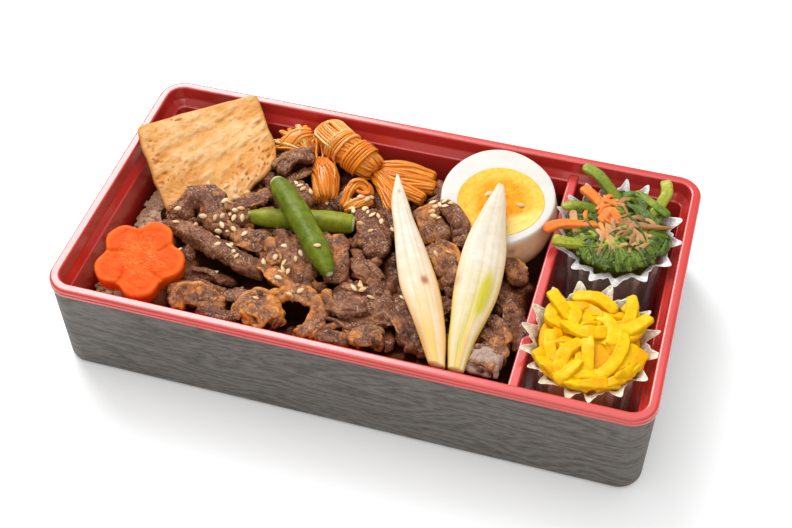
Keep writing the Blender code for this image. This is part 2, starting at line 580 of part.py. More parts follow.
# Each slice: path, width, thickness, roll in degrees
SLICES = {
    "hood": ([(-79, -10, 34), (-79, -3, 38), (-76, 1, 40.5), (-70, -1, 40.5), (-66, -8, 38), (-66, -13, 34)],
             12, 4.2, 0),
    "hood_fold": ([(-84, -10, 34), (-83, -6, 37), (-80, -3, 38)], 6, 4, 20),
    "knobs": ([(-65, -7, 37), (-60, -3, 39), (-53, -5, 37)], 9, 5, 0),
    "knobs_low": ([(-62, -11, 36), (-55, -8, 36)], 7, 4, 0),
    "long": ([(-88, -9, 33), (-73, -15, 36.5), (-61, -21, 38), (-50, -24, 37.5), (-37, -28, 34)], 8.5, 6.5, 20),
    "ledge": ([(-57, -13, 36), (-49, -14, 37.5), (-41, -14, 36)], 7.5, 5, -15),
    "big": ([(-43, -8, 36), (-33, -19, 38), (-22, -30, 36)], 17, 5, -8),
    "big_fat": ([(-43, -20, 36), (-34, -28, 37), (-26, -33, 35)], 6, 4, 0),
    "front_far": ([(-51, -39, 34), (-44, -38, 35.5), (-36, -39, 34)], 7, 5, 10),
    "front_near": ([(-70, -47, 35), (-58, -45, 36.5), (-47, -47, 35)], 9, 6.5, -10),
    "ring_near": ([(-44, -42.5, 34.5), (-37, -44, 36), (-30.5, -46, 36), (-27, -50, 34)], 11.5, 7, 0),
    "ring_far": ([(-32, -40, 37.5), (-25, -35, 38.5), (-18, -35, 38), (-11, -40, 36.5), (-13, -47, 35.5),
                  (-19, -51, 34.5)], 6, 4.5, 0),
    "roll": ([(-22, -3, 37), (-17, -14, 38.5), (-10, -24, 36)], 10.5, 7, 10),
    "post": ([(-10, 14, 37), (-5, 3, 38.5), (1, -8, 36.5)], 12, 7, -8),
    "post_right": ([(-2, 15, 36), (3, 2, 36.5)], 7, 5, 0),
    "slab": ([(-12, -34, 37), (-3, -34, 39.5), (6, -32, 39.5), (15, -31, 37.5)], 15, 4.5, 6),
    "slab_low": ([(-9, -40, 36), (0, -42, 37), (8, -38, 37.5), (15, -37, 36.5)], 8, 4, 15),
    "grey": ([(-9, -15, 35.5), (-2, -17, 37), (7, -23, 36)], 8, 5, 0),
    "fat_low": ([(-1, -47, 35.5), (7, -48, 36.5), (14, -45, 35.5)], 7, 7, 0),
    "low_left": ([(-11, -50, 35), (-3, -50.5, 36), (3, -50.5, 35.5)], 6, 6.5, 0),
    "dark": ([(11, -24, 36), (20, -37, 37), (28, -47, 35.5)], 11, 6, 12),
    "mid_left": ([(10, 12, 37), (17, 16, 38.5), (22, 18, 38.5), (28, 12, 36.5)], 10, 8, 0),
    "mid_right": ([(17, 0, 37), (23, -2, 39), (28, -8, 38), (29, -16, 36)], 10, 6, 0),
    "egg_side": ([(48, 5, 33), (52, 1, 34.5), (55, -4, 33)], 8, 5, 0),
    "right_far": ([(47, -14, 35), (54, -21, 36.5), (58, -28, 36), (57, -35, 34)], 8.5, 6, 20),
    "right_mid": ([(45, -31, 35), (51, -34, 36.5), (56, -39, 35)], 9, 6, 0),
    "right_near": ([(46, -47, 35.5), (52, -47, 36.5), (57, -47, 35)], 8, 7.5, 0),
    "purple_under": ([(-48, 20, 35.5), (-45, 28, 36), (-40, 36, 36)], 10, 7, 0),
    "purple": ([(-51, 23, 39), (-46, 30, 41), (-39, 35, 40)], 8, 5, 10),
    "purple_low": ([(-43, 21, 36.5), (-39, 16, 36.5), (-34, 11, 35)], 8, 7.5, 0),
    "tofu_side": ([(-62, 3, 35), (-56, 7, 36.5), (-50, 14, 36.5)], 6.5, 4.5, 0),
    "carrot_side": ([(-68, -31, 33), (-58, -30, 34.5), (-48, -30, 33.5)], 7, 5, 0),
    "left_far": ([(-88, 2, 31), (-80, 6, 33), (-72, 8, 33)], 8, 4, 0),
    "between": ([(31, 8, 36), (37, 0, 37), (41, -9, 36)], 9, 5, 0),
    "front_left": ([(-73, -38, 34.5), (-64, -37, 36), (-55, -39, 35)], 8, 4.5, 12),
    "front_mid": ([(-57, -50.5, 35), (-49, -50.5, 36), (-41, -50.5, 35)], 6, 6, 0),
    "right_front": ([(48, -40, 35.5), (53, -42, 36.5), (58, -43, 35)], 7, 5, 0),
    "back_mid": ([(12, 25, 34), (16, 32, 34), (14, 40, 32.5)], 8, 7, 0),
    "between_low": ([(24, -30, 36), (29, -26, 36.5), (33, -21, 36)], 7, 5, 0),
}
tools = []
for order, (label, (path, width, thick, roll)) in enumerate(SLICES.items()):
    rings = (4 if width < 7.5 else 5) if len(path) < 4 else 7
    tools.append(band("slice_" + label, path, width, thick, "beef", rings, 6 if width > 8 else 5, 0.12,
                      100 + order, 0.6, roll))
combine(beef, tools, "UNION", "MANIFOLD")
main_body(beef, flat=9.0)


def envelope(name, paths):
    """Cutters round the noodle bundles, a little larger than the bundles themselves."""
    made = []
    for k, (points, width, thick) in enumerate(paths):
        line = np.array(spline(points, 5))
        line[0] += (line[0] - line[1]) / np.linalg.norm(line[0] - line[1]) * 0.7
        line[-1] += (line[-1] - line[-2]) / np.linalg.norm(line[-1] - line[-2]) * 0.7
        made.append(band(name, line, width + 2.4, thick + 2.4, "shirataki", 8, 10, 0.0, k, 0.75,
                         home=cutters))
    return made


rooms = [tofu_room, carrot_room, bean_over_room, bean_under_room, leek_left_room, leek_right_room, egg_room]
rooms += envelope("knot_room", KNOT) + envelope("mass_room", MASS)
rooms += envelope("small_room", SMALL) + envelope("left_room", LEFT)
rooms.append(rice_room)
combine(beef, rooms, "DIFFERENCE", "MANIFOLD")

cavity_profile = [(9.9, 2.4), (9.8, 4.2), (7.4, 35.3), (6.8, 35.6), (4.8, 38.5), (4.6, 60.0)]


def cavity(name, left, right):
    """The room inside the tray's walls from one x to another."""
    rings = []
    for inset, z in cavity_profile:
        ring = np.array(rounded_rectangle(LENGTH / 2 - inset, DEPTH / 2 - inset, INNER_CORNER, z, 2))
        ring[:, 0] = np.clip(ring[:, 0], left, right)
        rings.append(ring)
    return loft(name, rings, "red_plastic", cutters)


beef_reach = DIVIDER_X - DIVIDER_FOOT_WIDTH / 2 - GAP
combine(beef, [cavity("cavity_beef", -200.0, beef_reach)], "INTERSECT", "MANIFOLD")
main_body(beef, flat=5.0)

# Rice grains where the bed shows
RICE_SPOTS = [(-98.0, -1.0, 4.5, 9.0, 18), (-90.0, -4.0, 4.0, 8.0, 6), (-100.5, -45.0, 2.0, 4.0, 4)]


def lie_on(target, spots, size, slot, seed, avoid, clear, apart, sunk, least_up=0.45):
    """Fuse small long bodies onto a solid where a fall from above meets it, clear of the rest."""
    rng = np.random.default_rng(seed)
    graph = bpy.context.evaluated_depsgraph_get()
    tree = BVHTree.FromObject(target, graph)
    others = [BVHTree.FromObject(item, graph) for item in avoid]
    down = Vector((0, 0, -1))
    length, width, high = size
    made = []
    placed = []
    for cx, cy, spread_x, spread_y, count in spots:
        done = 0
        for attempt in range(count * 14):
            if done == count:
                break
            x = (cx + rng.uniform(-1, 1) * spread_x) * MM
            y = (cy + rng.uniform(-1, 1) * spread_y) * MM
            spin = rng.uniform(0, math.pi)
            hit, normal, _, _ = tree.ray_cast(Vector((x, y, 0.08)), down)
            if hit is None or normal.z < least_up:
                continue
            if any((hit - other).length < apart * MM for other in placed):
                continue
            if any(item.find_nearest(hit, clear * MM)[0] is not None for item in others):
                continue
            around = [tree.ray_cast(Vector((x + dx * MM, y + dy * MM, 0.08)), down)[0]
                      for dx, dy in ((1.2, 0), (-1.2, 0), (0, 1.2), (0, -1.2))]
            if any(item is None or abs(item.z - hit.z) > 1.4 * MM for item in around):
                continue
            placed.append(hit)
            lean = normal.to_track_quat("Z", "Y").to_matrix().to_4x4()
            angle = np.arange(6) * math.pi / 3
            belly = np.stack([np.full(6, 0.1 * length), np.cos(angle) * width / 2,
                              np.sin(angle) * high / 2], 1)
            ends = np.array([(-length / 2, 0, 0), (length / 2, 0, 0)])
            sides = [(k, (k + 1) % 6, 6) for k in range(6)] + [((k + 1) % 6, k, 7) for k in range(6)]
            small = solid("small", np.vstack([belly, ends]), sides, slot)
            shift = Matrix.Translation(hit + normal * (high * (0.5 - sunk) * MM))
            small.data.transform(shift @ lean @ Matrix.Rotation(spin, 4, "Z"))
            made.append(small)
            done += 1
    total = len(made)
    combine(target, made, "UNION", "MANIFOLD")
    main_body(target)
    return total


lie_on(rice, RICE_SPOTS, GRAIN_SIZE, "rice", 11, [beef, tofu, carrot, tray], 2.6, 3.0, 0.3, 0.2)

# Pleated film cups
CUP_CENTRES = {"cup_greens": (85.2, 26.6), "cup_pickle": (85.2, -29.4)}
CUP_RIM_X = 0.955
CUP_STRETCH_Y = 1.06
# How far the near side of each rim droops
CUP_DIP = {"cup_greens": 2.4, "cup_pickle": 0.6}
# height, radius, depth of the pleats
CUP_PROFILE = [(2.6, 16.6, 0.3), (4.2, 17.2, 0.5), (30.0, 18.4, 0.7), (38.2, 19.2, 0.8), (41.6, 23.4, 1.4)]


def cup(name, seed, home=parts, grow=0.0):
    """Zigzag rings up the outside of the wall and down the inside, closed by a thin foot."""
    rng = np.random.default_rng(seed)
    cx, cy = CUP_CENTRES[name]
    points = 2 * PLEATS
    angle = np.arange(points) * 2 * math.pi / points
    sign = np.where(np.arange(points) % 2 == 0, 1.0, -1.0)
    uneven = rng.uniform(-1, 1, points)
    jagged = 0.7 * rng.uniform(-1, 1, points) + 0.3 * sign
    outer = []
    inner = []
    for row, (z, radius, deep) in enumerate(CUP_PROFILE):
        last = row == len(CUP_PROFILE) - 1
        reach = radius + sign * deep + (0.35 * uneven if last else 0.0)
        front = CUP_DIP[name] * np.clip(-np.sin(angle), 0, 1) ** 2 if last else 0.0
        height = np.full(points, z) + (jagged + grow if last else 0.0) - (grow if row == 0 else 0.0) - front
        thin = FILM * (1.0 + 0.4 * deep) + grow
        squeeze = CUP_RIM_X if last else 1.0
        for wall, move in ((outer, grow), (inner, -thin)):
            lift = FILM + 2 * grow if wall is inner and row == 0 else 0.0
            wall.append(np.stack([cx + (reach * squeeze + move) * np.cos(angle),
                                  cy + (reach * CUP_STRETCH_Y + move) * np.sin(angle), height + lift], 1))
    return loft(name, outer + inner[::-1], "film", home)


cup_greens = cup("cup_greens", 5)
cup_pickle = cup("cup_pickle", 6)


def filling(name, home_cup, slot, seed, crown):
    """The packed middle of a cup: an uneven drum with a domed top."""
    rng = np.random.default_rng(seed)
    cx, cy = CUP_CENTRES[home_cup]
    angle = np.arange(14) * math.pi / 7
    rings = []
    for z, radius in ((3.3, 14.6), (33.0, 16.6), (37.6, 17.2), (40.6, 18.6), (crown - 0.4, 14.5),
                      (crown + 0.6, 7.5)):
        reach = radius * (1 - 0.05 * rng.uniform(0, 1, 14))
        height = z + (0.6 if z > 41 else 0.0) * rng.uniform(-1, 1, 14)
        rings.append(np.stack([cx + reach * np.cos(angle), cy + reach * CUP_STRETCH_Y * np.sin(angle),
                               height], 1))
    return loft(name, rings, slot)


greens = filling("greens", "cup_greens", "greens", 21, 42.8)
GREEN_PIECES = {
    "stem_back": ([(66.5, 53.0, 46.6), (75, 48, 45.6), (87, 37, 41.4)], 4.6, 3.6, 0),
    "stem_right": ([(99.0, 54.0, 46.0), (100, 47, 44.6), (96, 35, 41.0)], 4.4, 3.8, 0),
    "stem_left": ([(62.5, 30.0, 44.8), (69, 33, 44.6), (79, 34, 41.2)], 4.0, 3.4, 0),
    "stem_near": ([(62.5, 12.6, 44.6), (69, 13.0, 44.2), (80, 18, 41.0)], 4.4, 3.6, 0),
    "stem_cross": ([(88, 47, 43.6), (96, 42, 43.8), (103, 37, 43.6)], 3.6, 3.2, 0),
    "carrot_long": ([(58.4, 16.4, 44.6), (65, 21, 45.0), (80, 27, 42.2)], 4.0, 2.4, 0),
    "carrot_back": ([(68, 43, 44.4), (74, 39, 44.2), (82, 33, 41.4)], 4.4, 2.4, 0),
    "carrot_loop": ([(78, 27, 43.6), (81, 32, 45.6), (86, 28, 43.6)], 3.6, 2.2, 0),
    "sprout_long": ([(80, 28, 43.4), (93, 28, 45.0), (105, 31, 44.0)], 3.0, 2.0, 0),
    "sprout_near": ([(81, 29, 44.0), (84, 18, 43.8), (88, 9.5, 42.2)], 3.4, 2.0, 0),
    "sprout_left": ([(67, 30, 44.4), (69, 23, 44.0), (73, 16, 41.8)], 3.0, 2.0, 0),
    "sprout_right": ([(90, 26, 44.0), (95, 21, 43.8), (98, 15, 41.4)], 3.4, 2.2, 0),
    "leaf_back": ([(82, 44, 42.0), (92, 38, 43.4), (100, 30, 42.0)], 10, 1.8, 12),
    "leaf_mid": ([(84, 34, 42.2), (90, 24, 43.4), (96, 14, 40.6)], 10, 1.8, -14),
    "leaf_near": ([(76, 20, 42.2), (82, 12, 42.2), (90, 9.5, 41.4)], 9, 1.8, 8),
    "leaf_left": ([(72, 34, 41.8), (76, 25, 43.2), (82, 18, 41.6)], 8, 1.8, 10),
}
tools = [band("green_" + label, path, width, thick, "greens", 5, 5, 0.06, 200 + order, 0.7, roll)
         for order, (label, (path, width, thick, roll)) in enumerate(GREEN_PIECES.items())]
combine(greens, tools, "UNION", "MANIFOLD")
combine(greens, [cup("cup_greens", 5, cutters, 0.35)], "DIFFERENCE", "MANIFOLD")
main_body(greens, flat=9.0)

pickle = filling("pickle", "cup_pickle", "pickle", 22, 42.0)
PICKLE_PIECES = {
    "far_left": ([(70, -17, 42.4), (70, -23, 42), (76, -26, 41.6)], 5.6, 3.4, 0),
    "far": ([(75, -11, 41.4), (84, -10, 42.6), (92, -14, 41.6)], 6.0, 3.6, 0),
    "far_right": ([(94, -10.5, 42.4), (98, -14, 42.6), (100, -22, 41.2)], 5.4, 3.4, 0),
    "right": ([(102, -18, 42.4), (99, -24, 42.8), (92, -29, 41.8)], 5.6, 3.4, 0),
    "long": ([(94, -20, 43.0), (97, -30, 43.8), (94, -41, 42.6), (86, -49, 40.6)], 5.4, 3.6, 0),
    "left_curl": ([(83, -31, 42.6), (78, -38, 43.0), (77, -47, 40.8)], 5.6, 3.4, 0),
    "across": ([(74, -24, 42.8), (82, -28, 43.8), (91, -25, 43.0)], 6.2, 3.4, 0),
    "middle": ([(84, -28, 43.2), (86, -38, 43.2), (87, -46, 41.0)], 5.2, 3.4, 0),
    "left": ([(71, -28, 41.6), (72, -36, 41.8), (75, -42, 40.6)], 5.2, 3.2, 0),
    "right_low": ([(101, -27, 41.6), (99, -35, 41.8), (94, -42, 41.0)], 5.4, 3.4, 0),
    "top": ([(86, -18, 42.6), (92, -23, 43.8), (93, -31, 43.0)], 5.4, 3.2, 0),
    "far_inner": ([(74, -14, 42), (78, -20, 43.2), (77, -29, 42.2)], 5.6, 3.2, 0),
    "near": ([(80, -46, 40.8), (86, -45, 42.0), (93, -43, 41.2)], 5.0, 3.2, 0),
}
tools = [band("pickle_" + label, path, width, thick, "pickle", 6, 5, 0.05, 300 + order, 0.72, roll)
         for order, (label, (path, width, thick, roll)) in enumerate(PICKLE_PIECES.items())]
combine(pickle, tools, "UNION", "MANIFOLD")
combine(pickle, [cup("cup_pickle", 6, cutters, 0.35)], "DIFFERENCE", "MANIFOLD")
main_body(pickle, flat=9.0)

# Sesame
MEAT_SEEDS = [(-60, -7, 5, 6, 7), (-45, 14, 5, 3, 5), (17, 17, 6, 4, 6), (-58, -20, 12, 6, 5),
              (-33, -17, 8, 9, 4), (-4, 6, 6, 8, 3), (3, -28, 9, 6, 4), (-28, -38, 10, 8, 3),
              (24, -5, 6, 6, 2), (-45, -33, 10, 8, 2), (-74, -9, 8, 5, 2)]
everything = [tofu, carrot, bean_over, bean_under, leek_left, leek_right, egg_white, shirataki_knot,
              shirataki_mass, shirataki_small, shirataki_left, tray]


def rest(target):
    """All solids near the meat but the given one."""
    return [item for item in everything + [beef] if item is not target]


lie_on(beef, MEAT_SEEDS, SEED_SIZE, "beef", 401, rest(beef), 2.0, 3.3, 0.22)
lie_on(tofu, [(-66, 3, 6, 5, 5)], SEED_SIZE, "fried_tofu", 402, rest(tofu), 2.0, 3.3, 0.22)
lie_on(shirataki_small, [(-15, 20, 5, 5, 3)], SEED_SIZE, "shirataki", 403, rest(shirataki_small), 2.0, 3.0,
       0.22)
lie_on(bean_over, [(-19.5, -18.5, 0.5, 0.5, 1)], SEED_SIZE, "green_bean", 404, rest(bean_over), 2.0, 3.0,
       0.22)
lie_on(egg_yolk, [(35, 29, 1, 1, 1), (46, 26, 1, 1, 1)], SEED_SIZE, "egg_yolk", 405, [leek_left, leek_right],
       2.0, 3.0, 0.22)
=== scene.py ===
"""The looks of a sukiyaki bento: box, tray, beef on rice with its toppings, and two film cups.

Shapes are surfaces worked out in millimetres with numpy and written into meshes in metres.
"""

import math

import bpy
import numpy as np
from mathutils import Matrix, Vector
from mathutils.bvhtree import BVHTree


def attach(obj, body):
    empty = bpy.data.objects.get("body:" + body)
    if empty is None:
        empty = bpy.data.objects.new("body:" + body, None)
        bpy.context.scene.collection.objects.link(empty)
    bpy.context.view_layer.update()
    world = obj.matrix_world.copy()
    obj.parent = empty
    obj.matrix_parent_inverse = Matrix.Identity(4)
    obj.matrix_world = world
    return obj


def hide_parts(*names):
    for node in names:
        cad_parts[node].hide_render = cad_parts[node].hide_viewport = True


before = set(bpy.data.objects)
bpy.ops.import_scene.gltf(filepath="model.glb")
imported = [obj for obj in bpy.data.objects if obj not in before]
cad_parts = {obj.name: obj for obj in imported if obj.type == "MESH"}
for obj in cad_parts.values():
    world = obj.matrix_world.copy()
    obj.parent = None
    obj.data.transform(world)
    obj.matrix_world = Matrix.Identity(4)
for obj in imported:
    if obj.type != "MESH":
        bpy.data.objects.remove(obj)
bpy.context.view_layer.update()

MM = 0.001
TURN = 2 * math.pi

# Sizes of the box, in millimetres.
LENGTH = 227.0
DEPTH = 122.4
CORNER = 10.0
INNER_CORNER = 3.0
FLOOR_TOP = 2.3
DIVIDER_X = 63.0

# Whole numbers that stir the places of a lattice into even random values
STIR = (73856093, 19349663, 83492791, 2654435, 2246822519, 3266489917)
BITS = 0xffffffff


# Numbers: curves, frames and smooth noise.
def spline(points, count):
    """Catmull-Rom curve through the points, sampled evenly in parameter."""
    given = np.asarray(points, float)
    if len(given) == 2:
        share = np.linspace(0.0, 1.0, count)[:, None]
        return given[0] * (1 - share) + given[1] * share
    padded = np.vstack([2 * given[0] - given[1], given, 2 * given[-1] - given[-2]])
    place = np.linspace(0.0, len(given) - 1 - 1e-9, count)
    i = place.astype(int)
    t = (place - i)[:, None]
    a, b, c, d = padded[i], padded[i + 1], padded[i + 2], padded[i + 3]
    return 0.5 * (2 * b + (c - a) * t + (2 * a - 5 * b + 4 * c - d) * t * t
                  + (3 * b - a - 3 * c + d) * t ** 3)


def unit(vectors):
    """Vectors of length one."""
    return vectors / np.maximum(np.linalg.norm(vectors, axis=-1, keepdims=True), 1e-9)


def frames(path, up=(0.0, 0.0, 1.0), turn=0.0):
    """Side and up directions square to the path, turned about it by degrees."""
    tangent = unit(np.gradient(path, axis=0))
    side = unit(np.cross(tangent, np.broadcast_to(np.asarray(up, float), tangent.shape)))
    over = np.cross(side, tangent)
    angle = np.radians(np.broadcast_to(turn, (len(path),)))[:, None]
    return side * np.cos(angle) + over * np.sin(angle), over * np.cos(angle) - side * np.sin(angle)


def noise(points, size, seed):
    """Value noise from -1 to 1: a random number at each corner of a lattice of the given size,
    blended across the cell with a smooth step."""
    place = np.asarray(points, float) / size
    cell = np.floor(place).astype(np.int64)
    part = place - cell
    part = part * part * (3 - 2 * part)
    total = 0.0
    for corner in range(8):
        step = np.array([corner & 1, corner >> 1 & 1, corner >> 2 & 1])
        x, y, z = np.moveaxis(cell + step, -1, 0)
        mixed = (x * STIR[0] ^ y * STIR[1] ^ z * STIR[2] ^ seed * STIR[3]) & BITS
        mixed = (mixed ^ mixed >> 15) * STIR[4] & BITS
        mixed = (mixed ^ mixed >> 13) * STIR[5] & BITS
        value = ((mixed ^ mixed >> 16) & 0xffff) / 32767.5 - 1.0
        weight = np.prod(np.where(step == 1, part, 1 - part), axis=-1)
        total = total + value * weight
    return total


def rough(points, size, seed, layers=3, keep=0.5):
    """Layers of noise, each half the size and a share of the height of the one before."""
    total = 0.0
    for layer in range(layers):
        total = total + noise(points, size / 2 ** layer, seed + 17 * layer) * keep ** layer
    return total


def waves(x, y, seed, count=9, short=9.0, long=34.0):
    """Sum of sines of several lengths and directions, about -1 to 1."""
    rng = np.random.default_rng(seed)
    total = np.zeros_like(x)
    for _ in range(count):
        length = rng.uniform(short, long)
        turn = rng.uniform(0, math.pi)
        way = x * math.cos(turn) + y * math.sin(turn)
        total = total + np.sin(TURN * way / length + rng.uniform(0, 6.3))
    return total / math.sqrt(count * 1.6)


def around(sides):
    """Even angles once round."""
    return np.arange(sides) * TURN / sides


def signed(values, power):
    """Values raised to a power with their signs kept: a circle becomes a rounded square."""
    return np.sign(values) * np.abs(values) ** power


def grid_of(x, y, z):
    """Points of a grid from x, y and z, each a number, a row, a column or a grid."""
    return np.stack(np.broadcast_arrays(x, y, z), -1)


def carried(path, side, over, across, through):
    """A profile carried along a path: each point lies its share across and through the path."""
    return path[:, None] + side[:, None] * across[..., None] + over[:, None] * through[..., None]


# Meshes: grids of points closed into solids.
def round_grid(grid):
    """Faces of rings of points (rings, sides, 3), each ring joined round to itself, its two ends
    closed on their centre points. Gives (points, quads, triangles)."""
    rings, sides = grid.shape[:2]
    row = np.arange(rings - 1)[:, None] * sides
    col = np.arange(sides)[None, :]
    nxt = (col + 1) % sides
    quads = np.stack([row + col, row + nxt, row + sides + nxt, row + sides + col], -1).reshape(-1, 4)
    points = np.vstack([grid.reshape(-1, 3), grid[0].mean(axis=0), grid[-1].mean(axis=0)])
    head = len(points) - 2
    k = np.arange(sides)
    m = (k + 1) % sides
    last = (rings - 1) * sides
    tris = np.vstack([np.stack([np.full(sides, head), m, k], 1),
                      np.stack([np.full(sides, head + 1), last + k, last + m], 1)])
    return points, quads, tris


def marked(grid, *marks):
    """A closed round grid with its marks from 0 to 1. A mark is spread over the grid and is 0 on the
    two end points, unless it is given as (mark, value at the first end, value at the last)."""
    shape = round_grid(grid)
    for mark in marks:
        values, first, last = mark if isinstance(mark, tuple) else (mark, 0.0, 0.0)
        spread_out = np.broadcast_to(values, grid.shape[:2]).ravel()
        shape += (np.clip(np.append(spread_out, (first, last)), 0, 1),)
    return shape


def flat_grid(top, under):
    """A closed slab between two grids of points (rows, columns, 3) that share their layout."""
    rows, columns = top.shape[:2]
    count = rows * columns
    row = np.arange(rows - 1)[:, None] * columns
    col = np.arange(columns - 1)[None, :]
    quad = np.stack([row + col, row + col + 1, row + columns + col + 1, row + columns + col], -1)
    quad = quad.reshape(-1, 4)
    edge = np.concatenate([np.arange(columns), np.arange(1, rows) * columns + columns - 1,
                           (rows - 1) * columns + np.arange(columns - 2, -1, -1),
                           np.arange(rows - 2, 0, -1) * columns])
    after = np.roll(edge, -1)
    skirt = np.stack([after, edge, edge + count, after + count], 1)
    points = np.vstack([top.reshape(-1, 3), under.reshape(-1, 3)])
    return points, np.vstack([quad, quad[:, ::-1] + count, skirt]), np.zeros((0, 3), int)


def outward(shape):
    """Turns the faces of a closed shape outward, by the sign of its volume."""
    points, quads, tris = shape[:3]
    corners = np.vstack([quads[:, [0, 1, 2]], quads[:, [0, 2, 3]], tris]) if len(quads) else tris
    a, b, c = points[corners[:, 0]], points[corners[:, 1]], points[corners[:, 2]]
    if np.einsum("ij,ij->i", a, np.cross(b, c)).sum() < 0:
        quads, tris = quads[:, ::-1], tris[:, ::-1]
    return (points, quads, tris) + tuple(shape[3:])


def grid_normals(grid, wrap=True):
    """Unit normals of a grid of points from the differences along its rows and columns."""
    along = np.gradient(grid, axis=0)
    if wrap:
        across = np.roll(grid, -1, axis=1) - np.roll(grid, 1, axis=1)
    else:
        across = np.gradient(grid, axis=1)
    return unit(np.cross(across, along))


def piece(name, shapes, material, nodes, marks=("tone",)):
    """One object from closed shapes. A shape is (points, quads, triangles, mark, ...), where each
    mark is a number or an array with one value or vector a point, kept as a point attribute."""
    shapes = [outward(shape) for shape in shapes]
    offset = np.cumsum([0] + [len(shape[0]) for shape in shapes])
    points = np.vstack([shape[0] for shape in shapes])
    quads = np.vstack([shape[1] + offset[k] for k, shape in enumerate(shapes)])
    tris = np.vstack([shape[2] + offset[k] for k, shape in enumerate(shapes)])
    mesh = bpy.data.meshes.new(name)
    mesh.vertices.add(len(points))
    mesh.vertices.foreach_set("co", (points * MM).astype(np.float32).ravel())
    mesh.loops.add(quads.size + tris.size)
    corners = np.concatenate([quads.ravel(), tris.ravel()])
    mesh.loops.foreach_set("vertex_index", corners.astype(np.int32))
    starts = np.concatenate([np.arange(len(quads)) * 4, quads.size + np.arange(len(tris)) * 3])
    mesh.polygons.add(len(starts))
    mesh.polygons.foreach_set("loop_start", starts.astype(np.int32))
    mesh.update(calc_edges=True)
    mesh.validate()
    mesh.polygons.foreach_set("use_smooth", np.full(len(starts), True))
    for k, mark in enumerate(marks):
        if mark == "run":
            values = np.vstack([shape[3 + k] for shape in shapes]) * MM
            layer = mesh.attributes.new(mark, "FLOAT_VECTOR", "POINT")
            layer.data.foreach_set("vector", values.astype(np.float32).ravel())
            continue
        values = np.concatenate([np.broadcast_to(shape[3 + k], len(shape[0])) for shape in shapes])
        layer = mesh.attributes.new(mark, "FLOAT", "POINT")
        layer.data.foreach_set("value", values.astype(np.float32))
    mesh.materials.append(material)
    made = bpy.data.objects.new(name, mesh)
    bpy.context.scene.collection.objects.link(made)
    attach(made, "root")
    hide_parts(*nodes)


# Materials.
class Finish:
    """A Principled material and short ways to add the nodes that feed it."""

    def __init__(self, name, **sockets):
        self.material = bpy.data.materials.new(name)
        self.material.use_nodes = True
        self.nodes = self.material.node_tree.nodes
        self.links = self.material.node_tree.links
        self.shader = self.nodes["Principled BSDF"]
        for socket, value in sockets.items():
            self.shader.inputs[socket.replace("_", " ")].default_value = value
        self.place = self.nodes.new("ShaderNodeTexCoord").outputs["Object"]

    def link(self, source, target):
        self.links.new(source, target)

    def stretched(self, x=1.0, y=1.0, z=1.0, turn=(0.0, 0.0, 0.0)):
        """Object coordinates turned by degrees and then stretched."""
        made = self.nodes.new("ShaderNodeMapping")
        made.inputs["Scale"].default_value = (x, y, z)
        made.inputs["Rotation"].default_value = tuple(math.radians(value) for value in turn)
        self.link(self.place, made.inputs["Vector"])
        return made.outputs["Vector"]

    def noise(self, size_mm, detail=4.0, roughness=0.55, where=None, warp=0.0):
        """Noise with features of about the given size."""
        made = self.nodes.new("ShaderNodeTexNoise")
        made.inputs["Scale"].default_value = 1.0 / (size_mm * MM)
        made.inputs["Detail"].default_value = detail
        made.inputs["Roughness"].default_value = roughness
        made.inputs["Distortion"].default_value = warp
        self.link(where or self.place, made.inputs["Vector"])
        return made.outputs["Fac"]

    def mark(self, name):
        """A point attribute of the mesh."""
        made = self.nodes.new("ShaderNodeAttribute")
        made.attribute_name = name
        return made.outputs["Fac"]

    def ramp(self, source, *stops):
        """Colours or numbers at places from 0 to 1."""
        made = self.nodes.new("ShaderNodeValToRGB")
        line = made.color_ramp.elements
        while len(line) < len(stops):
            line.new(0.5)
        for element, (where, colour) in zip(line, stops):
            element.position = where
            element.color = colour if isinstance(colour, tuple) else (colour, colour, colour, 1.0)
        self.link(source, made.inputs["Fac"])
        return made.outputs["Color"]

    def mix(self, factor, first, second):
        """Blend of two colours, each a socket or a colour."""
        made = self.nodes.new("ShaderNodeMix")
        made.data_type = "RGBA"
        sockets = [s for s in made.inputs if s.enabled]
        for value, target in zip((factor, first, second), sockets):
            if isinstance(value, (int, float, tuple)):
                target.default_value = value
            else:
                self.link(value, target)
        return [s for s in made.outputs if s.enabled][0]

    def math(self, way, first, second=0.0):
        """Arithmetic on two numbers or sockets."""
        made = self.nodes.new("ShaderNodeMath")
        made.operation = way
        for value, target in zip((first, second), made.inputs):
            if isinstance(value, (int, float)):
                target.default_value = value
            else:
                self.link(value, target)
        return made.outputs[0]

    def colour(self, source):
        self.link(source, self.shader.inputs["Base Color"])

    def sheen(self, source, low, high):
        """Roughness between two values."""
        made = self.nodes.new("ShaderNodeMapRange")
        made.inputs["To Min"].default_value = low
        made.inputs["To Max"].default_value = high
        self.link(source, made.inputs["Value"])
        self.link(made.outputs["Result"], self.shader.inputs["Roughness"])

    def relief(self, height, depth_mm, strength=1.0):
        """Bump of the given depth."""
        made = self.nodes.new("ShaderNodeBump")
        made.inputs["Strength"].default_value = strength
        made.inputs["Distance"].default_value = depth_mm * MM
        self.link(height, made.inputs["Height"])
        self.link(made.outputs["Normal"], self.shader.inputs["Normal"])


def red_finish():
    """Glossy red plastic with faint moulding marks."""
    made = Finish("red_tray", Roughness=0.24, Specular_IOR_Level=0.55, Coat_Weight=0.9, Coat_Roughness=0.16)
    broad = made.noise(30.0, 2.0)
    made.colour(made.ramp(broad, (0.3, (0.56, 0.030, 0.022, 1)), (0.7, (0.64, 0.040, 0.032, 1))))
    made.relief(made.noise(1.6, 2.0), 0.02, 0.4)
    return made.material


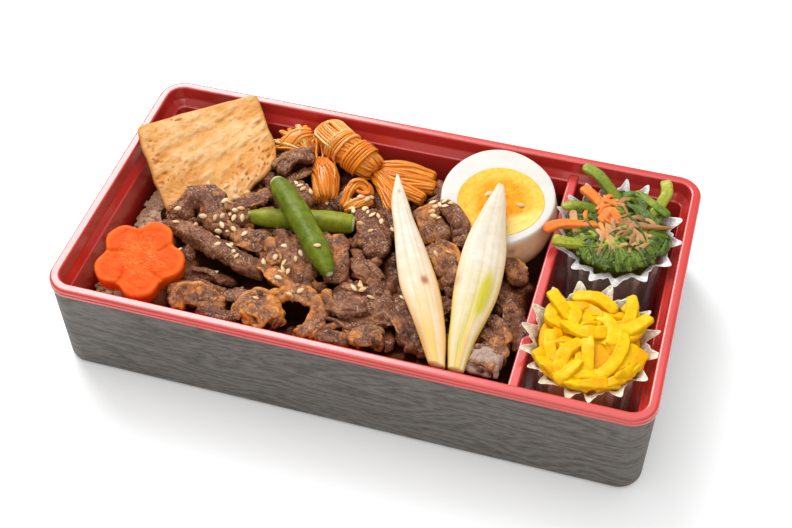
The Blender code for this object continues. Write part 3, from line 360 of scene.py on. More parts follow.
def wood_finish():
    """Dark grey wood grain: long streaks along the wall, bent round a few loops."""
    made = Finish("grey_wood_grain", Roughness=0.55, Specular_IOR_Level=0.3)
    axes = made.nodes.new("ShaderNodeSeparateXYZ")
    made.link(made.place, axes.inputs["Vector"])
    along = made.math("ADD", axes.outputs["X"], axes.outputs["Y"])
    join = made.nodes.new("ShaderNodeCombineXYZ")
    made.link(made.math("MULTIPLY", along, 0.20), join.inputs["X"])
    made.link(axes.outputs["Z"], join.inputs["Z"])
    flow = join.outputs["Vector"]
    bend = made.noise(13.0, 2.0, 0.45, flow, 0.6)
    height = made.math("ADD", made.math("MULTIPLY", axes.outputs["Z"], 210.0),
                       made.math("MULTIPLY", bend, 11.0))
    rings = made.math("SINE", made.math("MULTIPLY", height, 6.283))
    fine = made.noise(0.8, 3.0, 0.6, flow)
    streak = made.math("ADD", made.math("MULTIPLY", rings, 0.13), fine)
    made.colour(made.ramp(streak, (0.25, (0.070, 0.060, 0.053, 1)), (0.42, (0.102, 0.090, 0.079, 1)),
                          (0.60, (0.140, 0.124, 0.110, 1)), (0.80, (0.170, 0.152, 0.136, 1))))
    made.sheen(fine, 0.65, 0.48)
    made.relief(streak, 0.05, 0.4)
    return made.material


def rice_finish():
    """Steamed rice stained by the sauce."""
    made = Finish("stained_rice", Roughness=0.45, Specular_IOR_Level=0.3, Subsurface_Weight=0.2,
                  Subsurface_Scale=0.002)
    made.colour(made.ramp(made.noise(7.0, 3.0), (0.3, (0.30, 0.14, 0.07, 1)), (0.5, (0.48, 0.28, 0.17, 1)),
                          (0.75, (0.66, 0.46, 0.32, 1))))
    made.relief(made.noise(0.7, 2.0), 0.05, 0.5)
    return made.material


def beef_finish(name, veil=0.0):
    """Simmered beef: brown lean with paler fibres, painted glints as pale specks, painted shade in the
    hollows, amber fat by a mark, and a share of grey-white veil. Fibres follow the run of each slice,
    held in metres."""
    made = Finish(name, Roughness=0.42, Specular_IOR_Level=0.35, Subsurface_Weight=0.05,
                  Subsurface_Scale=0.002)
    run = made.nodes.new("ShaderNodeAttribute")
    run.attribute_name = "run"
    stretch = made.nodes.new("ShaderNodeMapping")
    stretch.inputs["Scale"].default_value = (0.3, 1.0, 1.0)
    made.link(run.outputs["Vector"], stretch.inputs["Vector"])
    broad = made.noise(6.0, 4.0, 0.6)
    fibre = made.noise(0.9, 4.0, 0.7, stretch.outputs["Vector"], 0.3)
    grain = made.noise(0.75, 4.0, 0.75)
    lean = made.ramp(broad, (0.32, (0.052, 0.010, 0.002, 1)), (0.5, (0.150, 0.034, 0.008, 1)),
                     (0.66, (0.27, 0.080, 0.024, 1)))
    pale = made.ramp(broad, (0.32, (0.14, 0.035, 0.009, 1)), (0.5, (0.31, 0.105, 0.035, 1)),
                     (0.68, (0.48, 0.215, 0.090, 1)))
    fat = made.ramp(fibre, (0.3, (0.38, 0.085, 0.008, 1)), (0.5, (0.66, 0.22, 0.030, 1)),
                    (0.7, (0.88, 0.46, 0.14, 1)))
    # The tone mark carries painted highlight on points that stand proud of the heap, set in sunk.
    body = made.mix(made.mark("tone"), lean, pale)
    body = made.mix(made.ramp(fibre, (0.38, 0.75), (0.55, 0.0)), body, (0.040, 0.012, 0.004, 1))
    # Painted highlight: pale specks on the grain, in patches, stand for glints of light.
    where = made.ramp(made.noise(7.0, 2.0), (0.40, 0.12), (0.56, 1.0))
    specks = made.math("MULTIPLY", made.ramp(grain, (0.55, 0.0), (0.61, 0.95)), where)
    body = made.mix(specks, body, (0.70, 0.43, 0.27, 1))
    body = made.mix(made.mark("fat"), body, fat)
    body = made.mix(veil, body, (0.58, 0.44, 0.37, 1))
    # Painted shade: the hollow mark darkens the colour toward sauce brown and, deeper, toward near black.
    sauce = made.ramp(made.mark("hollow"), (0.0, 0.0), (0.35, 0.62))
    body = made.mix(sauce, body, (0.170, 0.040, 0.007, 1))
    deep = made.ramp(made.mark("hollow"), (0.35, 0.0), (0.9, 1.0))
    made.colour(made.mix(deep, body, (0.024, 0.0065, 0.002, 1)))
    shine = made.math("MULTIPLY", made.math("SUBTRACT", 1.0, made.mark("hollow")), 0.38)
    made.link(shine, made.shader.inputs["Specular IOR Level"])
    made.sheen(made.noise(2.2, 3.0), 0.10, 0.50)
    made.relief(made.math("ADD", fibre, grain), 0.42, 1.0)
    return made.material


def tofu_finish():
    """Fried tofu: golden skin with painted highlight where it is raised, brown in the pits and along the rim.
    """
    made = Finish("fried_skin", Roughness=0.6, Specular_IOR_Level=0.2)
    broad = made.noise(13.0, 4.0, 0.6)
    skin = made.ramp(broad, (0.34, (0.57, 0.215, 0.034, 1)), (0.5, (0.65, 0.300, 0.076, 1)),
                     (0.66, (0.70, 0.38, 0.140, 1)))
    # Painted highlight: paler where the skin is raised, by the pale mark.
    skin = made.mix(made.mark("pale"), skin, (0.77, 0.49, 0.235, 1))
    toasted = made.ramp(made.noise(1.5, 4.0, 0.7), (0.34, 0.4), (0.5, 0.0))
    skin = made.mix(toasted, skin, (0.80, 0.27, 0.045, 1))
    skin = made.mix(made.mark("pit"), skin, (0.42, 0.14, 0.03, 1))
    made.colour(made.mix(made.mark("rim"), skin, (0.30, 0.085, 0.02, 1)))
    made.relief(made.noise(0.8, 4.0, 0.7), 0.22, 1.0)
    return made.material


def carrot_finish():
    """Boiled carrot: deep orange with pale fibres round the middle."""
    made = Finish("boiled_carrot", Roughness=0.6, Specular_IOR_Level=0.12, Subsurface_Weight=0.1,
                  Subsurface_Scale=0.002)
    base = made.ramp(made.noise(5.0, 4.0, 0.6), (0.3, (0.70, 0.064, 0.002, 1)),
                     (0.7, (0.79, 0.105, 0.004, 1)))
    fibre = made.ramp(made.noise(1.2, 3.0, 0.6, made.stretched(0.5, 1.3, 1.0, (0, 0, 15)), 1.5),
                      (0.50, 0.0), (0.62, 0.85))
    core = made.math("MULTIPLY", fibre, made.mark("core"))
    base = made.mix(made.mark("cut"), base, (0.86, 0.15, 0.018, 1))
    made.colour(made.mix(core, base, (0.92, 0.25, 0.06, 1)))
    made.relief(made.noise(0.8, 3.0), 0.10, 0.7)
    return made.material


def bean_finish():
    """Green bean pod: green, yellower by its mark, with fine lengthwise streaks and pale cuts."""
    made = Finish("green_pod", Roughness=0.4, Specular_IOR_Level=0.2)
    broad = made.noise(4.0, 4.0, 0.6)
    deep = made.ramp(broad, (0.3, (0.050, 0.090, 0.002, 1)), (0.7, (0.115, 0.170, 0.006, 1)))
    light = made.ramp(broad, (0.3, (0.170, 0.180, 0.005, 1)), (0.7, (0.320, 0.340, 0.014, 1)))
    body = made.mix(made.mark("tone"), deep, light)
    streaks = made.ramp(made.noise(1.1, 4.0, 0.7), (0.56, 0.0), (0.72, 0.4))
    body = made.mix(streaks, body, (0.34, 0.38, 0.06, 1))
    made.colour(made.mix(made.mark("cut"), body, (0.62, 0.64, 0.34, 1)))
    made.relief(made.noise(0.7, 4.0, 0.7), 0.14, 0.8)
    return made.material


def leek_finish():
    """Leek: off-white layers, cream toward the foot and the edges, green stripes, brown marks."""
    made = Finish("leek_layers", Roughness=0.42, Specular_IOR_Level=0.3, Subsurface_Weight=0.1,
                  Subsurface_Scale=0.002)
    base = made.ramp(made.noise(4.0, 4.0, 0.65), (0.3, (0.64, 0.56, 0.44, 1)), (0.55, (0.70, 0.64, 0.54, 1)),
                     (0.75, (0.75, 0.71, 0.64, 1)))
    base = made.mix(made.mark("cream"), base, (0.80, 0.46, 0.12, 1))
    base = made.mix(made.mark("green"), base, (0.52, 0.45, 0.012, 1))
    base = made.mix(made.mark("shade"), base, (0.46, 0.33, 0.14, 1))
    made.colour(made.mix(made.mark("brown"), base, (0.34, 0.085, 0.012, 1)))
    made.relief(made.noise(0.6, 2.0), 0.06, 0.6)
    return made.material


def noodle_finish():
    """Konjac noodles soaked in sauce: clear amber to brown, one tone a strand."""
    made = Finish("amber_noodles", Roughness=0.14, Specular_IOR_Level=0.35, Subsurface_Weight=0.35,
                  Subsurface_Scale=0.003)
    warm = made.ramp(made.mark("tone"), (0.0, (0.46, 0.080, 0.003, 1)), (0.4, (0.80, 0.20, 0.010, 1)),
                     (0.8, (0.95, 0.33, 0.030, 1)), (1.0, (0.97, 0.60, 0.24, 1)))
    sauce = made.ramp(made.noise(5.0, 2.0), (0.35, 0.28), (0.6, 0.0))
    made.colour(made.mix(sauce, warm, (0.50, 0.09, 0.006, 1)))
    made.relief(made.noise(1.2, 2.0), 0.05, 0.5)
    return made.material


def egg_finish():
    """Cooked egg white, stained by the sauce on its round side."""
    made = Finish("egg_white_flesh", Roughness=0.35, Specular_IOR_Level=0.25, Subsurface_Weight=0.2,
                  Subsurface_Scale=0.003)
    base = made.ramp(made.noise(12.0, 3.0), (0.3, (0.64, 0.60, 0.55, 1)), (0.7, (0.69, 0.66, 0.62, 1)))
    stain = made.mix(made.ramp(made.noise(5.0, 4.0), (0.35, 0.1), (0.7, 0.9)), (0.70, 0.47, 0.29, 1),
                     (0.62, 0.34, 0.17, 1))
    body = made.mix(made.mark("stain"), base, stain)
    made.colour(made.mix(made.mark("spot"), body, (0.34, 0.12, 0.04, 1)))
    made.relief(made.noise(2.5, 3.0), 0.08, 0.4)
    return made.material


def yolk_finish():
    """Yolk: deep yellow middle, a paler crumbly ring, and a light patch at the near right."""
    made = Finish("yolk_crumb", Roughness=0.6, Specular_IOR_Level=0.15)
    middle = made.ramp(made.noise(3.0, 4.0, 0.7), (0.3, (0.90, 0.26, 0.002, 1)),
                       (0.5, (0.93, 0.32, 0.006, 1)), (0.7, (0.94, 0.44, 0.030, 1)))
    ring = made.ramp(made.noise(1.6, 4.0, 0.75), (0.35, (0.92, 0.44, 0.020, 1)),
                     (0.65, (0.93, 0.58, 0.110, 1)))
    body = made.mix(made.mark("ring"), middle, ring)
    made.colour(made.mix(made.mark("pale"), body, (0.96, 0.66, 0.18, 1)))
    made.relief(made.noise(0.8, 4.0, 0.7), 0.3, 0.9)
    return made.material


def film_finish(name, dull, bright):
    """Thin clear film, whitish where it is creased and where it is seen along its face, with painted highlight
    as whiter film on the crests of its pleats and along its rim.
    """
    made = Finish(name, Roughness=0.1, Specular_IOR_Level=0.7)
    made.colour(made.ramp(made.noise(3.0, 3.0), (0.35, dull), (0.65, bright)))
    crinkle = made.noise(1.7, 3.0, 0.6, made.stretched(1.0, 1.0, 0.4), 0.6)
    crease = made.ramp(crinkle, (0.44, 0.0), (0.50, 0.5), (0.56, 0.0))
    facing = made.nodes.new("ShaderNodeLayerWeight")
    facing.inputs["Blend"].default_value = 0.35
    # Painted highlight: the crest mark makes the film whiter on the pleat crests and along the rim.
    haze = made.math("ADD", made.math("MULTIPLY", facing.outputs["Facing"], 0.40),
                     made.math("MULTIPLY", made.mark("crest"), 0.58))
    crease = made.math("MULTIPLY", crease, made.math("ADD", made.mark("crest"), 0.15))
    clear = made.math("MULTIPLY", made.math("ADD", haze, crease),
                      made.ramp(made.mark("crest"), (0.0, 0.45), (0.12, 1.0)))
    made.link(made.math("ADD", clear, 0.08), made.shader.inputs["Alpha"])
    made.relief(crinkle, 0.7, 1.0)
    return made.material


def leaf_finish():
    """Blanched spinach leaf: wet dark green."""
    made = Finish("spinach_leaf", Roughness=0.3, Specular_IOR_Level=0.4)
    body = made.mix(made.mark("tone"), (0.026, 0.052, 0.003, 1), (0.160, 0.235, 0.012, 1))
    veins = made.ramp(made.noise(2.0, 4.0, 0.7), (0.45, 0.0), (0.68, 0.7))
    made.colour(made.mix(veins, body, (0.17, 0.26, 0.02, 1)))
    made.relief(made.noise(1.1, 4.0, 0.7), 0.5, 1.0)
    return made.material


def stem_finish():
    """Blanched spinach stem: light green to yellow green along its tone."""
    made = Finish("spinach_stem", Roughness=0.34, Specular_IOR_Level=0.3)
    body = made.mix(made.mark("tone"), (0.10, 0.18, 0.008, 1), (0.42, 0.42, 0.03, 1))
    specks = made.ramp(made.noise(1.2, 4.0, 0.7), (0.36, 0.5), (0.55, 0.0))
    made.colour(made.mix(specks, body, (0.09, 0.13, 0.01, 1)))
    made.relief(made.noise(0.9, 3.0), 0.12, 0.8)
    return made.material


def strip_finish(name, first, second, rough_value=0.4, depth=0.14):
    """A soft vegetable strip between two colours by its tone, with darker flecks."""
    made = Finish(name, Roughness=rough_value, Specular_IOR_Level=0.14, Subsurface_Weight=0.15,
                  Subsurface_Scale=0.002)
    body = made.mix(made.mark("tone"), first, second)
    made.colour(made.mix(made.ramp(made.noise(1.8, 4.0), (0.35, 0.35), (0.62, 0.0)), body,
                         tuple(value * 0.72 for value in first[:3]) + (1.0,)))
    made.relief(made.noise(0.9, 3.0), depth, 0.7)
    return made.material


def seed_finish():
    """Toasted sesame: cream to tan, one tone a seed."""
    made = Finish("toasted_sesame", Roughness=0.45, Specular_IOR_Level=0.3)
    made.colour(made.mix(made.mark("tone"), (0.64, 0.37, 0.15, 1), (0.92, 0.70, 0.42, 1)))
    return made.material


# Box and tray.
# (inset from the lip's outer face, height) up the outside and down the inside
BOX_PROFILE = [(3.2, 0.0), (1.8, 0.3), (1.1, 1.9), (0.5, 39.6), (1.5, 39.6), (2.1, 2.4), (3.4, 1.2)]
TRAY_PROFILE = [(4.2, 1.5), (2.5, 2.6), (1.8, 39.9), (0.3, 39.9), (0.0, 40.3), (0.0, 41.3), (0.35, 41.6),
                (0.1, 41.9), (0.1, 42.6), (0.5, 43.3), (1.2, 43.5), (3.4, 43.5), (4.0, 43.1),
                (4.3, 38.3), (6.3, 35.3), (6.9, 35.0), (9.2, 4.2), (10.2, 2.7), (11.6, FLOOR_TOP)]
# (distance from the divider's middle, height) round the section of the divider
DIVIDER_SECTION = [(0.0, 1.9), (2.8, 1.9), (2.0, 37.0), (1.5, 37.5), (-1.5, 37.5), (-2.0, 37.0),
                   (-2.8, 1.9), (0.0, 1.9)]
DIVIDER_END = 57.4


def softened(profile, radius):
    """The profile with each corner rounded by an arc of at most the radius, and points held close
    to each side of the arc so that the flats stay flat."""
    line = np.asarray(profile, float)
    out = [line[0]]
    for before, corner, after in zip(line[:-2], line[1:-1], line[2:]):
        back, ahead = before - corner, after - corner
        reach_back, reach_ahead = np.linalg.norm(back), np.linalg.norm(ahead)
        cut = min(radius, 0.42 * reach_back, 0.42 * reach_ahead)
        start = corner + back / reach_back * cut
        end = corner + ahead / reach_ahead * cut
        for t in (0.0, 0.33, 0.67, 1.0):
            out.append((1 - t) ** 2 * start + 2 * t * (1 - t) * corner + t * t * end)
    out.append(line[-1])
    full = [out[0]]
    for a, b in zip(out[:-1], out[1:]):
        gap = np.linalg.norm(b - a)
        if gap > 4 * radius:
            for share in (0.6 * radius / gap, 1 - 0.6 * radius / gap):
                full.append(a + (b - a) * share)
        full.append(b)
    return np.array(full)


def rounded_ring(half_x, half_y, radius, z, steps=12, along=14):
    """Rounded rectangle: an arc of steps at each corner and points along each straight side."""
    angle = np.linspace(0, math.pi / 2, steps)
    arcs = []
    for quarter, (sx, sy) in enumerate(((1, 1), (-1, 1), (-1, -1), (1, -1))):
        turn = angle + quarter * math.pi / 2
        centre = np.array((sx * (half_x - radius), sy * (half_y - radius)))
        arcs.append(centre + radius * np.stack([np.cos(turn), np.sin(turn)], 1))
    line = []
    for k in range(4):
        line.append(arcs[k])
        start, end = arcs[k][-1], arcs[(k + 1) % 4][0]
        share = np.linspace(0, 1, along + 2)[1:-1, None]
        line.append(start * (1 - share) + end * share)
    flat = np.vstack(line)
    return np.column_stack([flat, np.full(len(flat), z)])


def shell(profile, radius):
    """Rounded rectangles stacked along a softened profile, closed at both ends."""
    rings = [rounded_ring(LENGTH / 2 - inset, DEPTH / 2 - inset, max(CORNER - inset, INNER_CORNER), z)
             for inset, z in softened(profile, radius)]
    return round_grid(np.array(rings))


section = softened(DIVIDER_SECTION, 0.4)[1:-1]
divider = round_grid(grid_of(DIVIDER_X + section[:, 0], np.linspace(-DIVIDER_END, DIVIDER_END, 30)[:, None],
                             section[:, 1]))
piece("outer_box_grain", [shell(BOX_PROFILE, 0.5)], wood_finish(), ["outer_box"], ())
piece("tray_gloss", [shell(TRAY_PROFILE, 0.45), divider], red_finish(), ["tray"], ())


# Heights of the rice bed and of the meat between the slices.
RICE_LEVEL = 22.0
MEAT_LEVEL = 34.6
HEAP_X = (-103.0, 59.4)
HEAP_Y = (-51.2, 51.2)
MEAT_STEP = 0.5
# Hollows between the slices: place, reach and depth
PITS = [(-54.0, -30.0, 9.0, 9.0), (-24.0, -39.0, 5.5, 9.0), (-15.0, 3.0, 6.0, 6.0),
        (-35.0, 30.0, 10.0, 5.0), (55.0, 8.0, 6.0, 9.0), (2.0, 46.0, 16.0, 6.0)]


def rice_top(x, y):
    """A flat bed with a low swell where it shows between the left wall, the carrot and the tofu."""
    rise = 6.4 * np.exp(-((x + 90.0) / 9.0) ** 2)
    return RICE_LEVEL + rise * (1 + 0.06 * waves(x, y, 3))


def meat_top(x, y):
    """The uneven level between the slices, falling away at the walls and over the rice."""
    wall = np.minimum(np.minimum(x - HEAP_X[0], HEAP_X[1] - x),
                      np.minimum(y - HEAP_Y[0], HEAP_Y[1] - y))
    fall = 3.4 * np.exp(-np.clip(wall, 0, 60) / 4.0)
    left = 13.0 * np.exp(-((x + 101.0) / 13.0) ** 2)
    back = 3.0 * np.exp(-((y - 50.0) / 9.0) ** 2)
    pits = 0
    for px, py, reach, deep in PITS:
        pits = pits + deep * np.exp(-((x - px) ** 2 + (y - py) ** 2) / reach ** 2)
    return MEAT_LEVEL + 1.2 * waves(x, y, 7) - fall - left - back - pits


def bed(x_range, y_range, step, top, floor):
    """A closed solid between a flat floor and a top whose height is a function of x and y."""
    xs = np.arange(x_range[0], x_range[1] + step / 2, step)
    ys = np.arange(y_range[0], y_range[1] + step / 2, step)
    gx, gy = np.meshgrid(xs, ys)
    return flat_grid(grid_of(gx, gy, top(gx, gy)), grid_of(gx, gy, floor))


# Rice: a grainy bed, and loose grains where it shows.
def grainy(x, y):
    """The bed with grain-sized lumps."""
    return rice_top(x, y) + 0.5 * noise(grid_of(x, y, 0.0), 2.4, 5) - 0.2


def scatter(rng, spots):
    """Places drawn round the centres of the spots: rows of (x, y)."""
    return np.vstack([np.array((cx, cy)) + rng.uniform(-1, 1, (count, 2)) * (sx, sy)
                      for cx, cy, sx, sy, count in spots])


def pill(length, width, high, point, bend=0.0, rings=9, sides=10):
    """A long rounded body along x, one end finer, as a ring grid centred on the origin."""
    t = np.linspace(0.0, 1.0, rings)
    shape = np.sin(math.pi * np.clip(t, 0.04, 0.965)) ** point
    t, shape, angle = t[:, None], shape[:, None], around(sides)
    return grid_of((t - 0.5) * length, shape * np.cos(angle) * width / 2 + bend * (2 * t - 1) ** 2,
                   shape * np.sin(angle) * high / 2)


def placed(grid, where, direction, normal):
    """The grid moved so that its x runs in the direction and its z along the normal."""
    normal = normal / np.linalg.norm(normal)
    direction = direction - normal * np.dot(direction, normal)
    direction = direction / np.linalg.norm(direction)
    return grid @ np.stack([direction, np.cross(normal, direction), normal]) + where


# Loose grains: place, reach in x and y, and count
GRAIN_SPOTS = [(-94.0, -2.0, 8.0, 13.0, 230), (-98.0, 12.0, 4.0, 14.0, 60), (-99.0, -38.0, 4.0, 13.0, 90),
               (-84.0, -9.0, 6.0, 9.0, 60)]
GRAIN_LENGTH = 4.6
GRAIN_WIDTH = 2.3
GRAIN_HIGH = 2.0
rng = np.random.default_rng(11)
grains = []
for x, y in scatter(rng, GRAIN_SPOTS):
    spin = rng.uniform(0, TURN)
    lean = rng.normal(0, 0.28, 2)
    size = rng.uniform(0.9, 1.1)
    body = pill(GRAIN_LENGTH * size, GRAIN_WIDTH * size, GRAIN_HIGH, 0.42, rng.uniform(-0.35, 0.35))
    spot = np.array((x, y, float(rice_top(np.array(x), np.array(y))) + rng.uniform(0.1, 0.8)))
    grains.append(round_grid(placed(body, spot, np.array((math.cos(spin), math.sin(spin), 0.0)),
                                    np.array((*lean, 1.0)))))
rice_look = rice_finish()
rice_body = bed((-102.0, 59.0), (-50.2, 50.2), 1.6, grainy, 3.0)
piece("rice_bed", [rice_body], rice_look, ["rice"], ())
piece("rice_grains", grains, rice_look, ["rice"], ())


# Beef: the core between the slices, the slices, and loose shreds.
def meat_core(x, y):
    """The level between the slices with lumps and folds of shreds."""
    at = grid_of(x, y, 0.0)
    fold = (1.0 - np.abs(noise(at, 6.0, 9))) ** 2
    return meat_top(x, y) + 1.3 * fold + 0.6 * rough(at, 3.2, 12, 3) - 1.2


SLICES = {
    # label: path, width, thickness, roll, tone of the lean, share of fat at the edge
    "hood": ([(-79, -10, 34), (-79, -3, 38), (-76, 1, 40.5), (-70, -1, 40.5), (-66, -8, 38), (-66, -13, 34)],
             
             12, 4.2, 0, 0.25, 0.2),
    "hood_fold": ([(-84, -10, 34), (-83, -6, 37), (-80, -3, 38)], 6, 4, 20, 0.5, 0.1),
    "knobs": ([(-65, -7, 37), (-60, -3, 39), (-53, -5, 37)], 9, 5, 0, 0.5, 0.3),
    "knobs_low": ([(-62, -11, 36), (-55, -8, 36)], 7, 4, 0, 0.3, 0.0),
    "long": ([(-88, -9, 33), (-73, -15, 36.5), (-61, -21, 38), (-50, -24, 37.5), (-37, -28, 34)],
             8.5, 6.5, 20, 0.6, 0.0),
    "ledge": ([(-57, -13, 36), (-49, -14, 37.5), (-41, -14, 36)], 7.5, 5, -15, 0.45, 0.2),
    "big": ([(-43, -8, 36), (-33, -19, 38), (-22, -30, 36)], 17, 5, -8, 0.65, 0.15),
    "big_fat": ([(-43, -20, 36), (-34, -28, 37), (-26, -33, 35)], 6, 4, 0, 0.7, 0.7),
    "front_far": ([(-52, -41, 33.5), (-44, -40, 35), (-36, -41, 33.5)], 6.5, 5, 10, 0.2, 0.1),
    "front_near": ([(-70, -47, 35), (-58, -45, 36.5), (-47, -47, 35)], 9, 6.5, -10, 0.7, 0.65),
    "ring_near": ([(-44, -42.5, 34.5), (-37, -44, 36), (-30.5, -46, 36), (-27, -50, 34)],
                  11.5, 7, 0, 0.8, 1.0),
    "ring_far": ([(-32, -40, 37.5), (-25, -35, 38.5), (-18, -35, 38), (-11, -40, 36.5), (-13, -47, 35.5),
                  (-19, -51, 34.5)], 6, 4.5, 0, 0.7, 0.95),
    "roll": ([(-22, -3, 37), (-17, -14, 38.5), (-10, -24, 36)], 10.5, 7, 10, 0.55, 0.5),
    "post": ([(-10, 14, 37), (-5, 3, 38.5), (1, -8, 36.5)], 12, 7, -8, 0.3, 0.1),
    "post_right": ([(-2, 15, 36), (3, 2, 36.5)], 7, 5, 0, 0.35, 0.1),
    "slab": ([(-12, -34, 37), (-3, -34, 39.5), (6, -32, 39.5), (15, -31, 37.5)], 15, 4.5, 6, 0.5, 0.0),
    "slab_low": ([(-9, -40, 36), (0, -42, 37), (8, -38, 37.5), (15, -37, 36.5)], 8, 4, 15, 0.3, 0.2),
    "grey": ([(-9, -15, 35.5), (-2, -17, 37), (7, -23, 36)], 8, 5, 0, 0.6, 0.1),
    "fat_low": ([(-1, -47, 35.5), (7, -48, 36.5), (14, -45, 35.5)], 7, 7, 0, 0.6, 0.6),
    "low_left": ([(-11, -50, 35), (-3, -50.5, 36), (3, -50.5, 35.5)], 6, 6.5, 0, 0.3, 0.1),
    "dark": ([(11, -24, 36), (20, -37, 37), (28, -47, 35.5)], 11, 6, 12, 0.1, 0.0),
    "mid_left": ([(10, 12, 37), (17, 16, 38.5), (22, 18, 38.5), (28, 12, 36.5)], 10, 8, 0, 0.8, 1.0),
    "mid_right": ([(17, 0, 37), (23, -2, 39), (28, -8, 38), (29, -16, 36)], 10, 6, 0, 1.0, 0.75),
    "egg_side": ([(48, 5, 33), (52, 1, 34.5), (55, -4, 33)], 8, 5, 0, 0.45, 0.3),
    "right_far": ([(47, -14, 35), (54, -21, 36.5), (58, -28, 36), (57, -35, 34)], 8.5, 6, 20, 0.05, 0.0),
    "right_mid": ([(45, -31, 35), (51, -34, 36.5), (56, -39, 35)], 9, 6, 0, 0.3, 0.5),
    "right_near": ([(45, -46, 36.5), (51, -46, 37.5), (57.5, -47, 36.5)], 9, 7.5, 0, 1.0, 0.0),
    "purple_under": ([(-48, 20, 35.5), (-45, 28, 36), (-40, 36, 36)], 10, 7, 0, 0.5, 0.0),
    "purple": ([(-51, 23, 39), (-46, 30, 41), (-39, 35, 40)], 8, 5, 10, 0.65, 0.0),
    "purple_low": ([(-43, 21, 36.5), (-39, 16, 36.5), (-34, 11, 35)], 8, 7.5, 0, 0.75, 0.1),
    "tofu_side": ([(-62, 3, 35), (-56, 7, 36.5), (-50, 14, 36.5)], 6.5, 4.5, 0, 0.2, 0.5),
    "carrot_side": ([(-68, -31, 31), (-58, -30, 31.5), (-48, -30, 30.5)], 6, 4, 0, 0.1, 0.0),
    "left_far": ([(-88, 2, 31), (-80, 6, 33), (-72, 8, 33)], 8, 4, 0, 0.5, 0.0),
    "between": ([(31, 8, 36), (37, 0, 37), (41, -9, 36)], 9, 5, 0, 0.5, 0.2),
    "front_left": ([(-73, -39, 31.5), (-64, -38, 33), (-55, -40, 32.5)], 8, 4.5, 12, 0.4, 0.2),
    "front_mid": ([(-57, -50.5, 35), (-49, -50.5, 36), (-41, -50.5, 35)], 6, 6, 0, 0.3, 0.2),
    "right_front": ([(48, -40, 35.5), (53, -42, 36.5), (58, -43, 35)], 7, 5, 0, 0.5, 0.3),
    "back_mid": ([(12, 25, 34), (16, 32, 34), (14, 40, 32.5)], 8, 7, 0, 0.3, 0.1),
    "between_low": ([(24, -30, 36), (29, -26, 36.5), (33, -21, 36)], 7, 5, 0, 0.4, 0.2),
}


def path_length(points):
    """Length of the curve through the points."""
    return np.linalg.norm(np.diff(spline(points, 30), axis=0), axis=1).sum()


def fibre_run(along, across, depth, seed):
    """Places along and across the fibres, which lie at an angle of their own in each slice."""
    turn = math.radians((seed * 47) % 180)
    return grid_of(along * math.cos(turn) - across * math.sin(turn),
                   along * math.sin(turn) + across * math.cos(turn), depth).reshape(-1, 3)


def meat_marks(grid, tone, fat, edge, seed):
    """The marks of a meat surface: tone of the lean, amber fat toward its edges and in patches, and
    painted shade toward the bottom of the heap."""
    patch = noise(grid, 4.5, seed + 11)
    fatty = np.clip((fat * (0.7 + 0.9 * edge) + 0.8 * patch - 0.55) * 1.6, 0, 1) * (fat > 0.05)
    level = np.clip(0.42 + 1.35 * (tone - 0.45) + 0.5 * noise(grid, 5.0, seed + 13), 0, 1)
    # Painted shade: darker the lower a point lies in the heap.
    low = 0.85 * np.clip((MEAT_LEVEL + 1.2 - grid[..., 2]) / 5.5, 0, 0.95)
    return level, fatty, low


def sunk(shapes, cell=0.8, window=7):
    """The shapes with their marks set by depth in the heap: a point below the smoothed top of the
    heap, or covered by another slice, gets painted shade, and one that stands proud is paler with painted
    highlight.
    The smoothed top is the highest point in each cell, averaged over a square window three times."""
    points = np.vstack([shape[0] for shape in shapes])
    size = (int((HEAP_X[1] - HEAP_X[0]) / cell) + 3, int((HEAP_Y[1] - HEAP_Y[0]) / cell) + 3)

    def cell_of(at):
        """The cell under each point."""
        return tuple(np.clip(((at[:, k] - start) / cell).astype(int) + 1, 0, size[k] - 1)
                     for k, start in ((0, HEAP_X[0]), (1, HEAP_Y[0])))

    high = np.full(size, RICE_LEVEL)
    np.maximum.at(high, cell_of(points), points[:, 2])
    smooth = high
    for _ in range(3):
        for axis in (0, 1):
            margin = [(window // 2, window // 2) if k == axis else (0, 0) for k in (0, 1)]
            padded = np.pad(smooth, margin, "edge")
            smooth = np.mean([np.roll(padded, -k, axis) for k in range(window)], 0)
            smooth = smooth[:size[0], :size[1]]
    out = []
    for shape in shapes:
        at = cell_of(shape[0])
        below = smooth[at] - shape[0][:, 2]
        covered = np.clip((high[at] - shape[0][:, 2] - 1.6) / 1.5, 0, 1)
        level = np.clip((MEAT_LEVEL - 0.2 - shape[0][:, 2]) / 3.6, 0, 1)
        # Painted shade: dark below the smoothed top, low in the heap and under other slices.
        dark = np.maximum(np.clip((below - 0.4) / 2.8, 0, 1), level * 0.92)
        # Painted highlight: points that stand proud of the smoothed top are made paler.
        proud = np.clip(-below / 2.4, 0, 1)
        tone = np.clip(shape[3] + 0.5 * proud - 0.15, 0, 1)
        low = np.maximum(shape[5] * 0.5, np.maximum(dark, covered) * 0.97)
        out.append(shape[:3] + (tone, shape[4] * (1 - 0.6 * dark), low) + shape[6:])
    return out


